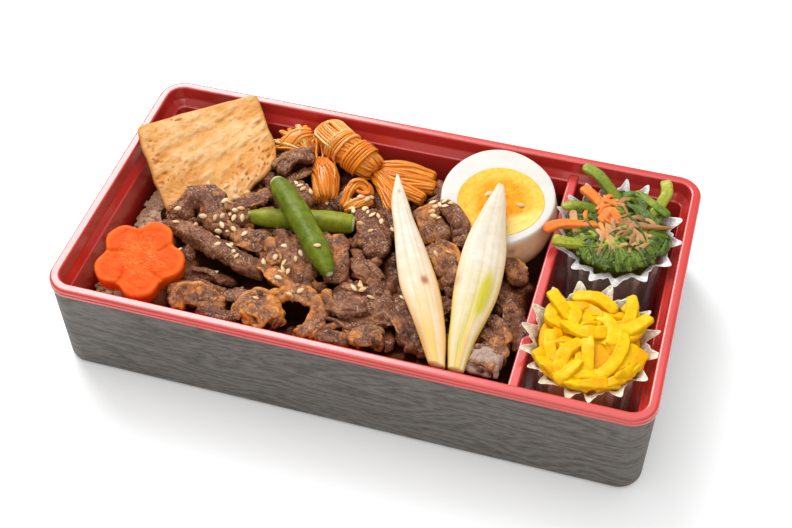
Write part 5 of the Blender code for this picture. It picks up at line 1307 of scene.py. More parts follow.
def egg_white():
    """Rings from the pole of the underside up round the body, over the cut face and into the
    recess of the yolk."""
    body = spline(EGG_BODY, 200)
    rings, stain = [], []
    for depth in (19.8, *np.linspace(19.4, 1.2, 34), 0.9, 0.65):
        size = np.interp(depth, body[:, 0], body[:, 1])
        rings.append(egg_ring(EGG_HALF[0] * size, EGG_HALF[1] * size, depth, (0.05 * depth, -0.30 * depth)))
        stain.append(min(1.0, 0.30 + depth / 2.5))
    for back, depth in ((0.02, 0.42), (0.12, 0.22), (0.32, 0.07), (0.7, 0.0), (1.3, 0.0), (2.2, 0.0)):
        rings.append(egg_ring(EGG_HALF[0] - back, EGG_HALF[1] - back, depth))
        stain.append(0.0)
    for out, depth in ((0.9, 0.02), (0.4, 0.04), (-0.4, 0.12), (-1.0, 0.6), (-1.6, 2.2), (-2.2, 3.2)):
        rings.append(egg_ring(YOLK_HALF[0] + 0.1 + out, YOLK_HALF[1] + 0.1 + out, depth, YOLK_SHIFT))
        stain.append(0.0)
    grid = np.array(rings)
    grid = grid + grid_normals(grid) * (0.10 * rough(grid, 9.0, 51, 2))[..., None]
    spot = np.exp(-(np.linalg.norm(grid - EGG_SPOT, axis=-1) / 1.5) ** 2)
    return marked(grid, (np.array(stain)[:, None], 1.0, 0.0), spot)


def egg_yolk():
    """The cut yolk: a low dome over the white's recess, crumbly, its left edge torn, with holes."""
    rings = [egg_ring(YOLK_HALF[0] - 2.0, YOLK_HALF[1] - 2.0, 3.0, YOLK_SHIFT),
             egg_ring(YOLK_HALF[0] - 0.8, YOLK_HALF[1] - 0.8, 1.6, YOLK_SHIFT),
             egg_ring(YOLK_HALF[0] - 0.1, YOLK_HALF[1] - 0.1, 0.4, YOLK_SHIFT)]
    sizes = [1.0, 0.99, 0.975] + list(np.linspace(0.955, 0.03, 46))
    for size in sizes:
        rise = 0.09 + 0.3 * (1 - size ** 2)
        rings.append(egg_ring(YOLK_HALF[0] * size + 0.35, YOLK_HALF[1] * size + 0.35, -rise, YOLK_SHIFT))
    grid = np.array(rings)
    share = np.array([1.0, 1.0, 1.0] + sizes)[:, None]
    face = (np.arange(len(rings)) > 3)[:, None]
    crumb = 0.26 * rough(grid, 2.0, 53, 3, 0.7)
    hole = -0.5 * np.clip(noise(grid, 3.2, 55) - 0.45, 0, 1)
    left = np.clip((EGG_CENTRE[0] - 4 - grid[..., 0]) / 12, 0, 1)
    torn = -1.1 * np.clip(rough(grid, 2.6, 57, 2) * left * np.clip(share * 3 - 1.8, 0, 1), 0, 1)
    up = grid_normals(grid)
    up = up * np.sign(up[..., 2:3])
    fade = np.clip((1.0 - share) * 5, 0.03, 1)
    grid = grid + up * (np.where(face, crumb + hole + torn, 0.0) * fade)[..., None]
    away = share + 0.10 * noise(grid, 6.0, 59)
    ring = np.clip((away - 0.50) * 3.6, 0, 1) * (1 - 0.5 * left)
    toward = (grid[..., 0] - EGG_CENTRE[0]) * 0.55 - (grid[..., 1] - EGG_CENTRE[1] + 4) * 0.85
    pale = np.clip((toward - 8.0) / 3.0, 0, 1) * face
    return marked(grid, ring, pale)


piece("egg_white_half", [egg_white()], egg_finish(), ["egg_white"], ("stain", "spot"))
piece("egg_yolk_crumbly", [egg_yolk()], yolk_finish(), ["egg_yolk"], ("ring", "pale"))


# Noodles.
# Bands of noodles: path, width and thickness
KNOT = [([(-39.5, 50.4, 40.2), (-32.0, 44.6, 40.8), (-23.0, 39.6, 40.6), (-13.5, 35.4, 38.8)], 13.4, 12.0),
        ([(-13.0, 39.8, 37.4), (-2.0, 41.2, 37.6), (9.5, 39.6, 36.4)], 6.2, 6.0),
        ([(-12.0, 36.0, 37.4), (0.0, 35.0, 37.4), (11.4, 34.4, 36.4)], 6.6, 6.2),
        ([(-12.0, 34.6, 37.0), (-1.0, 30.4, 36.8), (8.4, 27.4, 35.8)], 6.0, 5.8),
        ([(-13.0, 35.4, 37.2), (-6.4, 27.6, 36.8), (-1.0, 18.6, 35.4)], 7.8, 6.5)]
MASS = [([(-38.2, 35.8, 35.4), (-32.6, 27.6, 37.6), (-28.8, 16.2, 35.8)], 11.2, 10.4)]
SMALL = [([(-21.6, 15.6, 35.2), (-21.2, 22.0, 37.4), (-18.6, 27.0, 37.8), (-14.8, 26.4, 37.2),
           (-12.4, 23.8, 36.0)], 4.6, 4.6),
         ([(-21.2, 15.4, 34.4), (-16.4, 18.4, 35.4), (-11.8, 22.6, 35.4)], 5.6, 5.6)]
LEFT = [([(-56.2, 41.0, 35.2), (-51.2, 46.0, 37.6), (-45.6, 49.6, 37.6)], 9.0, 7.0),
        ([(-49.5, 42.5, 35.0), (-43.5, 40.0, 35.4)], 6.5, 6.0)]
FAN_BASE = (-42.5, 41.0, 35.6)
FAN_TIPS = [(-58.6, 40.0, 36.0), (-58.4, 43.0, 37.2), (-57.2, 46.4, 38.2), (-54.8, 49.0, 39.2),
            (-51.8, 50.8, 39.6), (-48.8, 50.6, 39.0), (-45.8, 49.4, 38.0), (-43.2, 47.6, 37.2)]
NOODLE = 1.15
CORE_TONE = 0.55


def strand(path, thick, tone, rings=30, sides=7):
    """One round noodle along a path, its ends rounded off."""
    line = spline(path, rings)
    side, over = frames(line, (0.13, 0.21, 0.97))
    share = np.linspace(-1, 1, rings)
    size = thick / 2 * np.sqrt(np.clip(1 - np.abs(share) ** 30, 0.05, 1))
    angle = around(sides)[:, None]
    across = side[:, None] * np.cos(angle) + over[:, None] * np.sin(angle)
    return round_grid(line[:, None] + across * size[:, None, None]) + (tone,)


def strands(points, width, thick, seed, count, twist=0.5, loose=0.3, flare=0.0):
    """Noodles side by side along a band: each keeps its own place in the section, which turns a
    little along the band, wanders, and flares out toward the far end."""
    rng = np.random.default_rng(seed)
    path = spline(points, 16)
    side, over = frames(path)
    made = []
    share = np.linspace(0, 1, 16)
    swell = 0.72 + 0.28 * np.sin(math.pi * share) ** 0.5 + flare * share ** 2
    for k in range(count):
        start = TURN * k / count + rng.uniform(-0.15, 0.15)
        reach = 1.0 if k % 4 else 0.7
        turn = start + twist * (share - 0.5) + 0.2 * np.sin(share * 5 + rng.uniform(0, 6))
        across = np.cos(turn) * (width - NOODLE) / 2 * reach * swell
        through = np.sin(turn) * (thick - NOODLE) / 2 * reach * np.minimum(swell, 1)
        across = across + loose * noise(grid_of(share * 4, k * 3.3, seed * 1.7), 1.0, seed)
        line = path + side * across[:, None] + over * through[:, None]
        made.append(strand(line, NOODLE * rng.uniform(0.8, 1.2), rng.uniform(0.40, 0.78)))
    return made


def wrap(points, width, thick, centre, turns, pitch, seed):
    """Noodles wound round a band: loops in the section, stepping along its length."""
    rng = np.random.default_rng(seed)
    path = spline(points, 200)
    side, over = frames(path)
    ahead = unit(np.gradient(path, axis=0))
    length = np.concatenate([[0], np.cumsum(np.linalg.norm(np.diff(path, axis=0), axis=1))])
    made = []
    for k in range(turns):
        t = np.linspace(0, 1, 22)
        spot = centre * length[-1] + (k - turns / 2 + 0.3 * (t - 0.5)) * pitch + rng.uniform(-0.15, 0.15)
        at = np.interp(np.clip(spot, 0, length[-1]), length, np.arange(200)).astype(int)
        angle = t * TURN * 0.98 + rng.uniform(-0.2, 0.2) - math.pi / 2
        reach_w = (width + NOODLE * 0.7) / 2 + rng.uniform(-0.1, 0.15)
        reach_t = (thick + NOODLE * 0.7) / 2 + rng.uniform(-0.1, 0.15)
        ring = (path[at] + ahead[at] * (1.1 * np.sin(angle))[:, None]
                + side[at] * (np.cos(angle) * reach_w)[:, None]
                + over[at] * (np.sin(angle) * reach_t)[:, None])
        made.append(strand(ring, NOODLE * rng.uniform(0.85, 1.1), rng.uniform(0.55, 1.0), 44))
    return made


def end_loops(points, width, thick, count, seed):
    """Noodles that turn back over the start of a band: nested bows, highest in the middle."""
    rng = np.random.default_rng(seed)
    path = spline(points, 30)
    side, over = frames(path)
    ahead = unit(np.gradient(path, axis=0))
    made = []
    for k in range(count):
        reach = (width / 2 - 0.4) * (k + 1) / count
        dome = (thick / 2 + 0.3) * math.sqrt(max(1 - (reach / (width / 2 + 0.8)) ** 2, 0.05))
        angle = np.linspace(0, math.pi, 9)
        bow = (path[3] + side[3] * (reach * np.cos(angle))[:, None]
               - ahead[3] * (0.75 * reach * np.sin(angle))[:, None]
               + over[3] * (dome - 1.2 * np.sin(angle) * reach / width)[:, None])
        left = [path[at] + side[at] * reach + over[at] * (dome - 0.2) for at in (13, 8)]
        right = [path[at] - side[at] * reach + over[at] * (dome - 0.2) for at in (8, 13)]
        line = np.vstack([left, bow, right])
        made.append(strand(line, NOODLE * rng.uniform(0.9, 1.2), rng.uniform(0.4, 1.0), 46))
    return made


def bows(base, tips, height, seed, per=2):
    """Noodles folded in bows from a base out to each tip and back."""
    rng = np.random.default_rng(seed)
    made = []
    for tip in tips:
        for _ in range(per):
            root = np.array(base) + rng.uniform(-1.6, 1.6, 3) * (1, 1, 0.4)
            end = np.array(tip) + rng.uniform(-0.7, 0.7, 3)
            flat = np.cross(end - root, (0, 0, 1.0))
            flat = flat / np.linalg.norm(flat) * rng.uniform(0.5, 1.0)
            lift = np.array((0, 0, height))
            line = [root - flat, root * 0.45 + end * 0.55 - flat + lift, end - flat * 0.6, end + flat * 0.6,
                    root * 0.5 + end * 0.5 + flat + lift * 0.6, root + flat]
            made.append(strand(line, NOODLE * rng.uniform(0.85, 1.15), rng.uniform(0.3, 1.0), 40))
    return made


def solid_core(points, width, thick, seed):
    """A plain body just inside the noodles, so that no gap shows through them."""
    path = spline(points, 24)
    side, over = frames(path)
    share = np.linspace(-1, 1, 24)[:, None]
    swell = 0.62 + 0.38 * np.sqrt(np.clip(1 - share ** 4, 0, 1))
    swell = swell * np.minimum(1, ((1 - np.abs(share)) * 6 + 0.05) ** 0.5)
    angle = around(20)
    grid = carried(path, side, over, np.cos(angle) * (width / 2 - 0.62) * swell,
                   np.sin(angle) * (thick / 2 - 0.62) * swell)
    grid = grid + grid_normals(grid) * (0.2 * rough(grid, 2.5, seed, 2))[..., None]
    return round_grid(grid) + (CORE_TONE,)


def noodle_piece(name, node, paths, counts, seed, extra=(), flare=0.0, dim=0.0):
    """The strands of every band of one knot over its core, darkened by a share of their tone."""
    shapes = []
    for k, ((points, width, thick), count) in enumerate(zip(paths, counts)):
        shapes.append(solid_core(points, width, thick, seed + k))
        shapes += strands(points, width, thick, seed + 10 * k, count, 0.5 + 0.2 * k,
                          flare=flare if k else 0.0)
    shapes = [shape[:3] + (max(shape[3] - dim, 0.0),) for shape in shapes + list(extra)]
    piece(name, shapes, noodle_look, [node])


noodle_look = noodle_finish()
BODY = KNOT[0]
windings = wrap(*BODY, 0.40, 5, 1.25, 101) + wrap(*BODY, 0.72, 6, 1.15, 102) + end_loops(*BODY, 7, 103)
noodle_piece("noodle_knot", "shirataki_knot", KNOT, (40, 22, 22, 20, 24), 31, windings, 0.15)
LINKS = [[(-41.0, 46.0, 38.4), (-38.6, 41.4, 38.8), (-36.6, 37.0, 38.4), (-34.4, 32.0, 38.6)],
         [(-39.5, 47.0, 39.0), (-37.0, 41.5, 39.4), (-34.4, 37.0, 38.8), (-32.0, 32.6, 39.0)],
         [(-42.0, 45.0, 37.6), (-40.6, 40.0, 37.8), (-38.6, 35.0, 37.4), (-37.0, 30.0, 37.4)],
         [(-37.6, 46.0, 39.0), (-34.6, 41.4, 38.8), (-32.4, 38.0, 38.2), (-30.6, 33.6, 38.4)]]
noodle_piece("noodle_mass", "shirataki_mass", MASS, (36,), 41,
             [strand(line, NOODLE, 0.35 + 0.15 * k, 36) for k, line in enumerate(LINKS)], dim=0.16)
LOOP = np.array([(-22.6, 24.0, 37.6), (-21.4, 27.6, 39.0), (-18.0, 29.0, 39.6), (-14.6, 27.6, 39.0),
                 (-13.6, 25.0, 38.0), (-15.6, 23.6, 38.0), (-18.6, 24.2, 38.2)])
loops = [strand(LOOP + (0.3 * k, -0.7 * k, 0.5 * k - 0.6), NOODLE, 0.9 - 0.2 * k, 44) for k in range(4)]
noodle_piece("noodle_small", "shirataki_small", SMALL, (17, 20), 51, loops)
noodle_piece("noodle_left", "shirataki_left", LEFT, (18, 16), 61, bows(FAN_BASE, FAN_TIPS, 1.6, 104, 3))


# Film cups.
CUP_CENTRES = {"cup_greens": (85.2, 26.6), "cup_pickle": (85.2, -29.4)}
CUP_RIM_X = 0.955
CUP_STRETCH_Y = 1.06
CUP_DIP = {"cup_greens": 2.4, "cup_pickle": 0.6}
PLEATS = 16
FILM = 0.22
CUP_SHOULDER = 38.2
# height, radius, depth of the pleats
CUP_PROFILE = [(2.6, 16.6, 0.3), (4.2, 17.2, 0.5), (30.0, 18.4, 0.8), (CUP_SHOULDER, 19.3, 1.1),
               (41.6, 23.2, 2.1)]


def film_cup(name, seed, sides=320):
    """Pleated wall between radii that follow the profile: each pleat is a rounded wave of its own
    depth and width, its crests rising above the rim, thin as film, closed by a flat foot."""
    rng = np.random.default_rng(seed)
    cx, cy = CUP_CENTRES[name]
    angle = around(sides)
    own = np.concatenate([[0.0], np.cumsum(rng.uniform(0.75, 1.25, PLEATS))])
    phase = np.interp(angle, own / own[-1] * TURN, np.arange(PLEATS + 1) * TURN)
    wave = 0.85 * signed(np.cos(phase), 0.75) + 0.35 * np.cos(2 * phase + 0.9)
    fine = 0.16 * noise(grid_of(np.cos(angle) * 6, np.sin(angle) * 6, 0.0), 1.0, seed)
    profile = np.vstack([CUP_PROFILE[0], spline(CUP_PROFILE[1:], 34)])
    outer, inner, crest = [], [], []
    for k, (z, radius, deep) in enumerate(profile):
        up = np.clip((z - CUP_SHOULDER) / 3.4, 0, 1)
        at = grid_of(cx + radius * np.cos(angle), cy + radius * np.sin(angle), z)
        crinkle = 0.34 * rough(at, 2.6, seed + 3, 2) * np.clip((z - 20) / 15, 0, 1)
        reach = radius + wave * deep * (1 + 0.25 * up) + fine * (0.4 + up) + crinkle
        height = z + up * (0.9 * wave + 1.6 * fine) - up * CUP_DIP[name] * np.clip(-np.sin(angle), 0, 1) ** 2
        squeeze = 1 + (CUP_RIM_X - 1) * up
        for wall, move in ((outer, 0.0), (inner, -FILM)):
            wall.append(grid_of(cx + (reach * squeeze + move) * np.cos(angle),
                                cy + (reach * CUP_STRETCH_Y + move) * np.sin(angle), height))
        # The crest mark is painted highlight: whiter film along the rim and on the crests of the pleats.
        haze = 1.0 if k > len(profile) - 3 else 0.28 * np.clip((z - 37.5) / 2, 0, 1)
        fold = np.clip(0.25 + 0.75 * wave, 0, 1) ** 2 * np.clip((z - 30) / 12, 0.1, 1)
        crest.append(np.maximum(fold, haze))
    inner[0][:, 2] += FILM
    return marked(np.array(outer + inner[::-1]), np.array(crest + crest[::-1]))


plain_film = film_finish("clear_film", (0.74, 0.72, 0.68, 1), (0.95, 0.94, 0.92, 1))
warm_film = film_finish("clear_film_by_pickle", (0.82, 0.70, 0.45, 1), (0.96, 0.92, 0.80, 1))
piece("film_cup_greens", [film_cup("cup_greens", 5)], plain_film, ["cup_greens"], ("crest",))
piece("film_cup_pickle", [film_cup("cup_pickle", 6)], warm_film, ["cup_pickle"], ("crest",))


# What fills the cups.
def drum(home_cup, crown, seed, tone):
    """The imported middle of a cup: a drum with an uneven domed top."""
    cx, cy = CUP_CENTRES[home_cup]
    angle = around(72)
    z, r = np.array([(3.3, 14.6), (33.0, 16.4), (37.6, 17.0), (40.2, 18.2), (crown - 1.4, 16.5),
                     (crown - 0.9, 14.0), (crown - 0.5, 11.0), (crown - 0.2, 8.0), (crown, 5.0),
                     (crown, 2.0)]).T[:, :, None]
    grid = grid_of(cx + r * 0.985 * np.cos(angle), cy + r * 0.985 * CUP_STRETCH_Y * np.sin(angle), z)
    grid[..., 2] += 0.7 * rough(grid, 5.0, seed, 3) * (grid[..., 2] > 39.0)
    return round_grid(grid) + (tone,)


def cup_place(home_cup, turn, reach_x, reach_y, z):
    """The point at an angle and a reach from the middle of a cup."""
    cx, cy = CUP_CENTRES[home_cup]
    return np.array((cx + reach_x * math.cos(turn), cy + reach_y * math.sin(turn), z))


def ribbon(points, width, thick, seed, tone, roll=0.0, rings=50, sides=28, taper=0.75, bumps=0.25,
           square=0.6, twist=14, ridges=0.10, fade=0.0):
    """A strip with softened corners along a path, a little uneven and twisted, ridged along its
    length, its tone fading by the given amount from start to end."""
    path = spline(points, rings)
    share = np.linspace(-1, 1, rings)
    spin = np.random.default_rng(seed).uniform(-twist, twist)
    side, over = frames(path, turn=roll + spin * share)
    share = share[:, None]
    swell = taper + (1 - taper) * np.sqrt(np.clip(1 - share ** 4, 0, 1))
    swell = swell * np.minimum(1, ((1 - np.abs(share)) * 9 + 0.05) ** 0.5)
    a, b = signed(np.cos(around(sides)), square), signed(np.sin(around(sides)), square)
    grid = carried(path, side, over, a * width / 2 * swell, b * thick / 2 * swell)
    line = noise(grid_of(share * 1.5, a * 2.4, b * 2.4 + seed), 1.0, seed + 5)
    rise = bumps * rough(grid, 3.0, seed, 3) + ridges * line
    grid = grid + grid_normals(grid) * (rise * np.clip(swell, 0.2, 1))[..., None]
    level = tone + 0.2 * noise(grid, 4.0, seed + 2) + 0.25 * line - fade * (share + 1) / 2
    return marked(grid, (level, tone, tone - fade))


# Strips and leaves: path, width, then thickness and tone, or the roll of a leaf
GREEN_STEMS = {
    "stem_back": ([(66.5, 53.0, 46.6), (75, 48, 45.6), (87, 37, 41.4)], 4.6, 3.6, 0.35),
    "stem_right": ([(99.0, 54.0, 46.0), (100, 47, 44.6), (96, 35, 41.0)], 4.4, 3.8, 1.0),
    "stem_left": ([(62.5, 30.0, 44.8), (69, 33, 44.6), (79, 34, 41.2)], 4.0, 3.4, 0.45),
    "stem_near": ([(62.5, 12.6, 44.6), (69, 13.0, 44.2), (80, 18, 41.0)], 4.4, 3.6, 0.7),
    "stem_cross": ([(88, 47, 43.6), (96, 42, 43.8), (103, 37, 43.6)], 3.6, 3.2, 0.35),
}
GREEN_CARROTS = {
    "carrot_long": ([(58.4, 16.4, 44.6), (65, 21, 45.0), (80, 27, 42.2)], 4.0, 2.4, 0.3),
    "carrot_back": ([(68, 43, 44.4), (74, 39, 44.2), (82, 33, 41.4)], 4.4, 2.4, 0.5),
    "carrot_loop": ([(78, 27, 43.6), (81, 32, 45.6), (86, 28, 43.6)], 3.6, 2.2, 0.5),
}
GREEN_SPROUTS = {
    "sprout_long": ([(80, 28, 43.4), (93, 28, 45.0), (105, 31, 44.0)], 3.0, 2.0, 0.2),
    "sprout_near": ([(81, 29, 44.0), (84, 18, 43.8), (88, 9.5, 42.2)], 3.4, 2.0, 0.7),
    "sprout_left": ([(67, 30, 44.4), (69, 23, 44.0), (73, 16, 41.8)], 3.0, 2.0, 0.8),
    "sprout_right": ([(90, 26, 44.0), (95, 21, 43.8), (98, 15, 41.4)], 3.4, 2.2, 0.6),
}
GREEN_LEAVES = {
    "leaf_back": ([(82, 44, 42.0), (92, 38, 43.4), (100, 30, 42.0)], 10, 12),
    "leaf_mid": ([(84, 34, 42.2), (90, 24, 43.4), (96, 14, 40.6)], 10, -14),
    "leaf_near": ([(76, 20, 42.2), (82, 12, 42.2), (90, 9.5, 41.4)], 9, 8),
    "leaf_left": ([(72, 34, 41.8), (76, 25, 43.2), (82, 18, 41.6)], 8, 10),
}


def leaf(points, width, seed, roll, tone, rings=44, sides=30):
    """A wilted leaf: a thin blade along the path, pleated across and crumpled."""
    path = spline(points, rings)
    side, over = frames(path, turn=roll)
    share = np.linspace(-1, 1, rings)[:, None]
    swell = (1 - np.abs(share) ** 3.0) ** 0.5 * 0.85 + 0.15
    u, high = np.cos(around(sides)), np.sin(around(sides))
    fold = 0.11 * width * np.sin(u * 7 + 3 * share + seed)
    fold = fold + 0.10 * width * noise(grid_of(share * 2.5, u * 1.6, seed), 0.8, seed)
    grid = carried(path, side, over, u * width / 2 * swell, high * 0.55 * swell + fold * swell ** 0.5)
    grid = grid + 0.25 * noise(grid, 1.8, seed + 1)[..., None] * over[:, None]
    vein = np.clip(1 - np.abs(u) * 9, 0, 1) * 0.8
    return marked(grid, (tone + vein + 0.3 * noise(grid, 2.5, seed + 2), tone, tone))


def spread(rng, home_cup, radius):
    """A random place within a cup."""
    cx, cy = CUP_CENTRES[home_cup]
    reach = radius * math.sqrt(rng.uniform(0, 1))
    turn = rng.uniform(0, TURN)
    return cx + reach * math.cos(turn), cy + reach * CUP_STRETCH_Y * math.sin(turn), reach


def short_path(rng, home_cup, radius, length, base, arch, limit=18.2):
    """A bowed path of three points lying on the dome of a cup, kept inside its rim."""
    cx, cy = CUP_CENTRES[home_cup]
    x, y, reach = spread(rng, home_cup, radius)
    turn = rng.uniform(0, TURN)
    run = np.array((math.cos(turn), math.sin(turn), 0)) * length / 2
    side_step = np.array((-run[1], run[0], 0)) * rng.uniform(-0.5, 0.5)
    middle = np.array((x, y, base + 1.4 * (1 - (reach / 17) ** 2)))
    kept = []
    for point in (middle - run - (0, 0, arch), middle + side_step + (0, 0, 0.35 * arch),
                  middle + run - (0, 0, arch)):
        away = np.array((point[0] - cx, (point[1] - cy) / CUP_STRETCH_Y))
        far = np.linalg.norm(away)
        if far > limit:
            away = away / far * limit
            point = np.array((cx + away[0], cy + away[1] * CUP_STRETCH_Y, point[2] - 0.4))
        kept.append(point)
    return kept


rng = np.random.default_rng(21)
stems = [ribbon(path, width, thick * 0.62, 200 + k, tone + 0.25, square=0.55, ridges=0.34, fade=0.6, twist=30)
         for k, (path, width, thick, tone) in enumerate(GREEN_STEMS.values())]
stems += [ribbon(short_path(rng, "cup_greens", 15, rng.uniform(6, 13), 42.6, 0.8), rng.uniform(1.4, 2.6),
                 1.4, 230 + k, rng.uniform(0.2, 1.0), square=0.9, rings=26, sides=12) for k in range(24)]
carrots = [ribbon(path, width, thick, 210 + k, tone, square=0.4, twist=35)
           for k, (path, width, thick, tone) in enumerate(GREEN_CARROTS.values())]
for k in range(11):
    line = np.array(short_path(rng, "cup_greens", 9, rng.uniform(5, 10), 43.2, 0.6)) + (-5.0, 5.0, 0.0)
    carrots.append(ribbon(line, rng.uniform(1.2, 2.4), 1.1, 250 + k, rng.uniform(0.1, 0.9), square=0.4,
                          rings=28, sides=12, twist=50))
sprouts = [ribbon(path, width, thick * 0.6, 220 + k, tone, square=0.5, twist=55, taper=0.5, ridges=0.18)
           for k, (path, width, thick, tone) in enumerate(GREEN_SPROUTS.values())]
sprouts += [ribbon(short_path(rng, "cup_greens", 14, rng.uniform(5, 11), 43.4, 0.8), rng.uniform(0.9, 2.2),
                   0.9, 260 + k, rng.uniform(0.1, 1.0), square=0.5, rings=28, sides=12, twist=60)
            for k in range(17)]
leaves = [leaf(path, width, 240 + k, roll, 0.25)
          for k, (path, width, roll) in enumerate(GREEN_LEAVES.values())]
leaves += [leaf(short_path(rng, "cup_greens", 17, rng.uniform(6, 12), 41.6, 1.0), rng.uniform(3.0, 7.5),
                280 + k, rng.uniform(-55, 55), rng.uniform(0.0, 0.6), 28, 22) for k in range(60)]
# Leaves that fan out over the near half of the rim, from the left to the right
for k in range(30):
    turn = math.pi * (0.92 + 1.16 * (k + 0.5) / 30)
    reach = rng.uniform(8, 11)
    fan = [cup_place("cup_greens", turn, reach, reach * CUP_STRETCH_Y, 43.0)]
    fan.append(cup_place("cup_greens", turn, 14.5, 14.5 * CUP_STRETCH_Y, rng.uniform(42.6, 43.8)))
    reach = rng.uniform(18.6, 20.4)
    fan.append(cup_place("cup_greens", turn, reach, reach * CUP_STRETCH_Y, rng.uniform(40.6, 41.8)))
    leaves.append(leaf(fan, rng.uniform(2.6, 4.6), 380 + k, rng.uniform(-35, 35), rng.uniform(0.0, 1.1),
                       26, 20))
# Leaves that lie along the near wall
for k in range(16):
    turn = math.pi * (1.0 + (k + 0.5) / 16)
    middle = cup_place("cup_greens", turn, 16.6, 17.2, 40.6)
    run = np.array((-math.sin(turn), math.cos(turn), 0.0)) * rng.uniform(2.5, 4.5)
    line = [middle - run, middle + (0, 0, rng.uniform(0.4, 1.8)), middle + run]
    leaves.append(leaf(line, rng.uniform(3.5, 6), 350 + k, rng.uniform(-50, 50), rng.uniform(0.0, 0.6),
                       26, 20))
leaf_look = leaf_finish()
carrot_look = strip_finish("carrot_strip", (0.86, 0.17, 0.02, 1), (0.94, 0.36, 0.10, 1))
sprout_look = strip_finish("soy_sprout", (0.36, 0.15, 0.06, 1), (0.66, 0.40, 0.18, 1))
for name, shapes, look in (("greens_bed", [drum("cup_greens", 42.2, 71, 0.1)], leaf_look),
                           ("greens_leaves", leaves, leaf_look), ("greens_stems", stems, stem_finish()),
                           ("greens_carrot_strips", carrots, carrot_look),
                           ("greens_sprouts", sprouts, sprout_look)):
    piece(name, shapes, look, ["greens"])
PICKLE_PIECES = {
    "far_left": ([(70, -17, 42.4), (70, -23, 42), (76, -26, 41.6)], 5.6, 3.4),
    "far": ([(75, -11, 41.4), (84, -10, 42.6), (92, -14, 41.6)], 6.0, 3.6),
    "far_right": ([(94, -10.5, 42.4), (98, -14, 42.6), (100, -22, 41.2)], 5.4, 3.4),
    "right": ([(102, -18, 42.4), (99, -24, 42.8), (92, -29, 41.8)], 5.6, 3.4),
    "long": ([(94, -20, 43.0), (97, -30, 43.8), (94, -41, 42.6), (86, -49, 40.6)], 5.4, 3.6),
    "left_curl": ([(83, -31, 42.6), (78, -38, 43.0), (77, -47, 40.8)], 5.6, 3.4),
    "across": ([(74, -24, 42.8), (82, -28, 43.8), (91, -25, 43.0)], 6.2, 3.4),
    "middle": ([(84, -28, 43.2), (86, -38, 43.2), (87, -46, 41.0)], 5.2, 3.4),
    "left": ([(71, -28, 41.6), (72, -36, 41.8), (75, -42, 40.6)], 5.2, 3.2),
    "right_low": ([(101, -27, 41.6), (99, -35, 41.8), (94, -42, 41.0)], 5.4, 3.4),
    "top": ([(86, -18, 42.6), (92, -23, 43.8), (93, -31, 43.0)], 5.4, 3.2),
    "far_inner": ([(74, -14, 42), (78, -20, 43.2), (77, -29, 42.2)], 5.6, 3.2),
    "near": ([(80, -46, 40.8), (86, -45, 42.0), (93, -43, 41.2)], 5.0, 3.2),
    "out_left": ([(67.4, -13.0, 45.0), (71.5, -17.5, 44.4), (77, -23, 42.6)], 5.6, 3.2),
    "out_far": ([(96.0, -8.2, 45.8), (97.4, -14.5, 44.6), (96, -22, 42.4)], 5.0, 3.2),
    "out_right": ([(104.4, -15.5, 45.0), (99.5, -21.5, 44.6), (93, -26, 42.6)], 5.6, 3.2),
    "out_near": ([(84, -40, 43.4), (80, -47, 42.8), (77.0, -50.5, 41.4)], 5.0, 3.0),
}
PICKLE_SHAPE = {"square": 0.38, "ridges": 0.2, "bumps": 0.2, "twist": 40}
pickles = [ribbon(path, width * 0.86, thick * 0.72, 300 + k, 0.62, bumps=0.26, square=0.38, twist=34,
                  ridges=0.26) for k, (path, width, thick) in enumerate(PICKLE_PIECES.values())]
# Strips that lie along the near wall and the right one
for k in range(15):
    turn = TURN * (0.58 + 0.40 * (k + 0.5) / 15)
    middle = cup_place("cup_pickle", turn, 18.6, 19.8, 41.0 + rng.uniform(-0.6, 0.8))
    run = np.array((-math.sin(turn), math.cos(turn), 0.0)) * rng.uniform(3.0, 5.5)
    line = [middle - run, middle + (0, 0, 0.8), middle + run - (0, 0, 0.6)]
    pickles.append(ribbon(line, rng.uniform(3.4, 5.0), rng.uniform(1.6, 2.4), 370 + k, rng.uniform(0.2, 0.8),
                          rng.uniform(-40, 20), 34, 18, **PICKLE_SHAPE))
pickles += [ribbon(short_path(rng, "cup_pickle", 15.5, rng.uniform(8, 15), 41.0, 1.2), rng.uniform(3.2, 5.2),
                   rng.uniform(1.6, 2.4), 330 + k, rng.uniform(0.0, 0.7), rng.uniform(-35, 35), 36, 18,
                   **PICKLE_SHAPE) for k in range(26)]
pickle_look = strip_finish("yellow_pickle", (0.80, 0.36, 0.000, 1), (0.93, 0.62, 0.001, 1), 0.34)
piece("pickle_bed", [drum("cup_pickle", 41.6, 73, 0.2)], pickle_look, ["pickle"])
piece("pickle_strips", pickles, pickle_look, ["pickle"])


# Sesame.
SEED_LENGTH = 3.0
SEED_WIDTH = 1.95
SEED_HIGH = 1.0
SEED_LIFT = 0.28
SEED_GAP = 2.2
DROP_HEIGHT = 0.08


def tree_of(names):
    """A search tree over the triangles of the named objects."""
    points, faces = [], []
    start = 0
    for name in names:
        mesh = bpy.data.objects[name].data
        mesh.calc_loop_triangles()
        place = np.empty(len(mesh.vertices) * 3)
        mesh.vertices.foreach_get("co", place)
        corners = np.empty(len(mesh.loop_triangles) * 3, np.int32)
        mesh.loop_triangles.foreach_get("vertices", corners)
        points.append(place.reshape(-1, 3))
        faces.append(corners.reshape(-1, 3) + start)
        start += len(mesh.vertices)
    return BVHTree.FromPolygons(np.vstack(points).tolist(), np.vstack(faces).tolist())


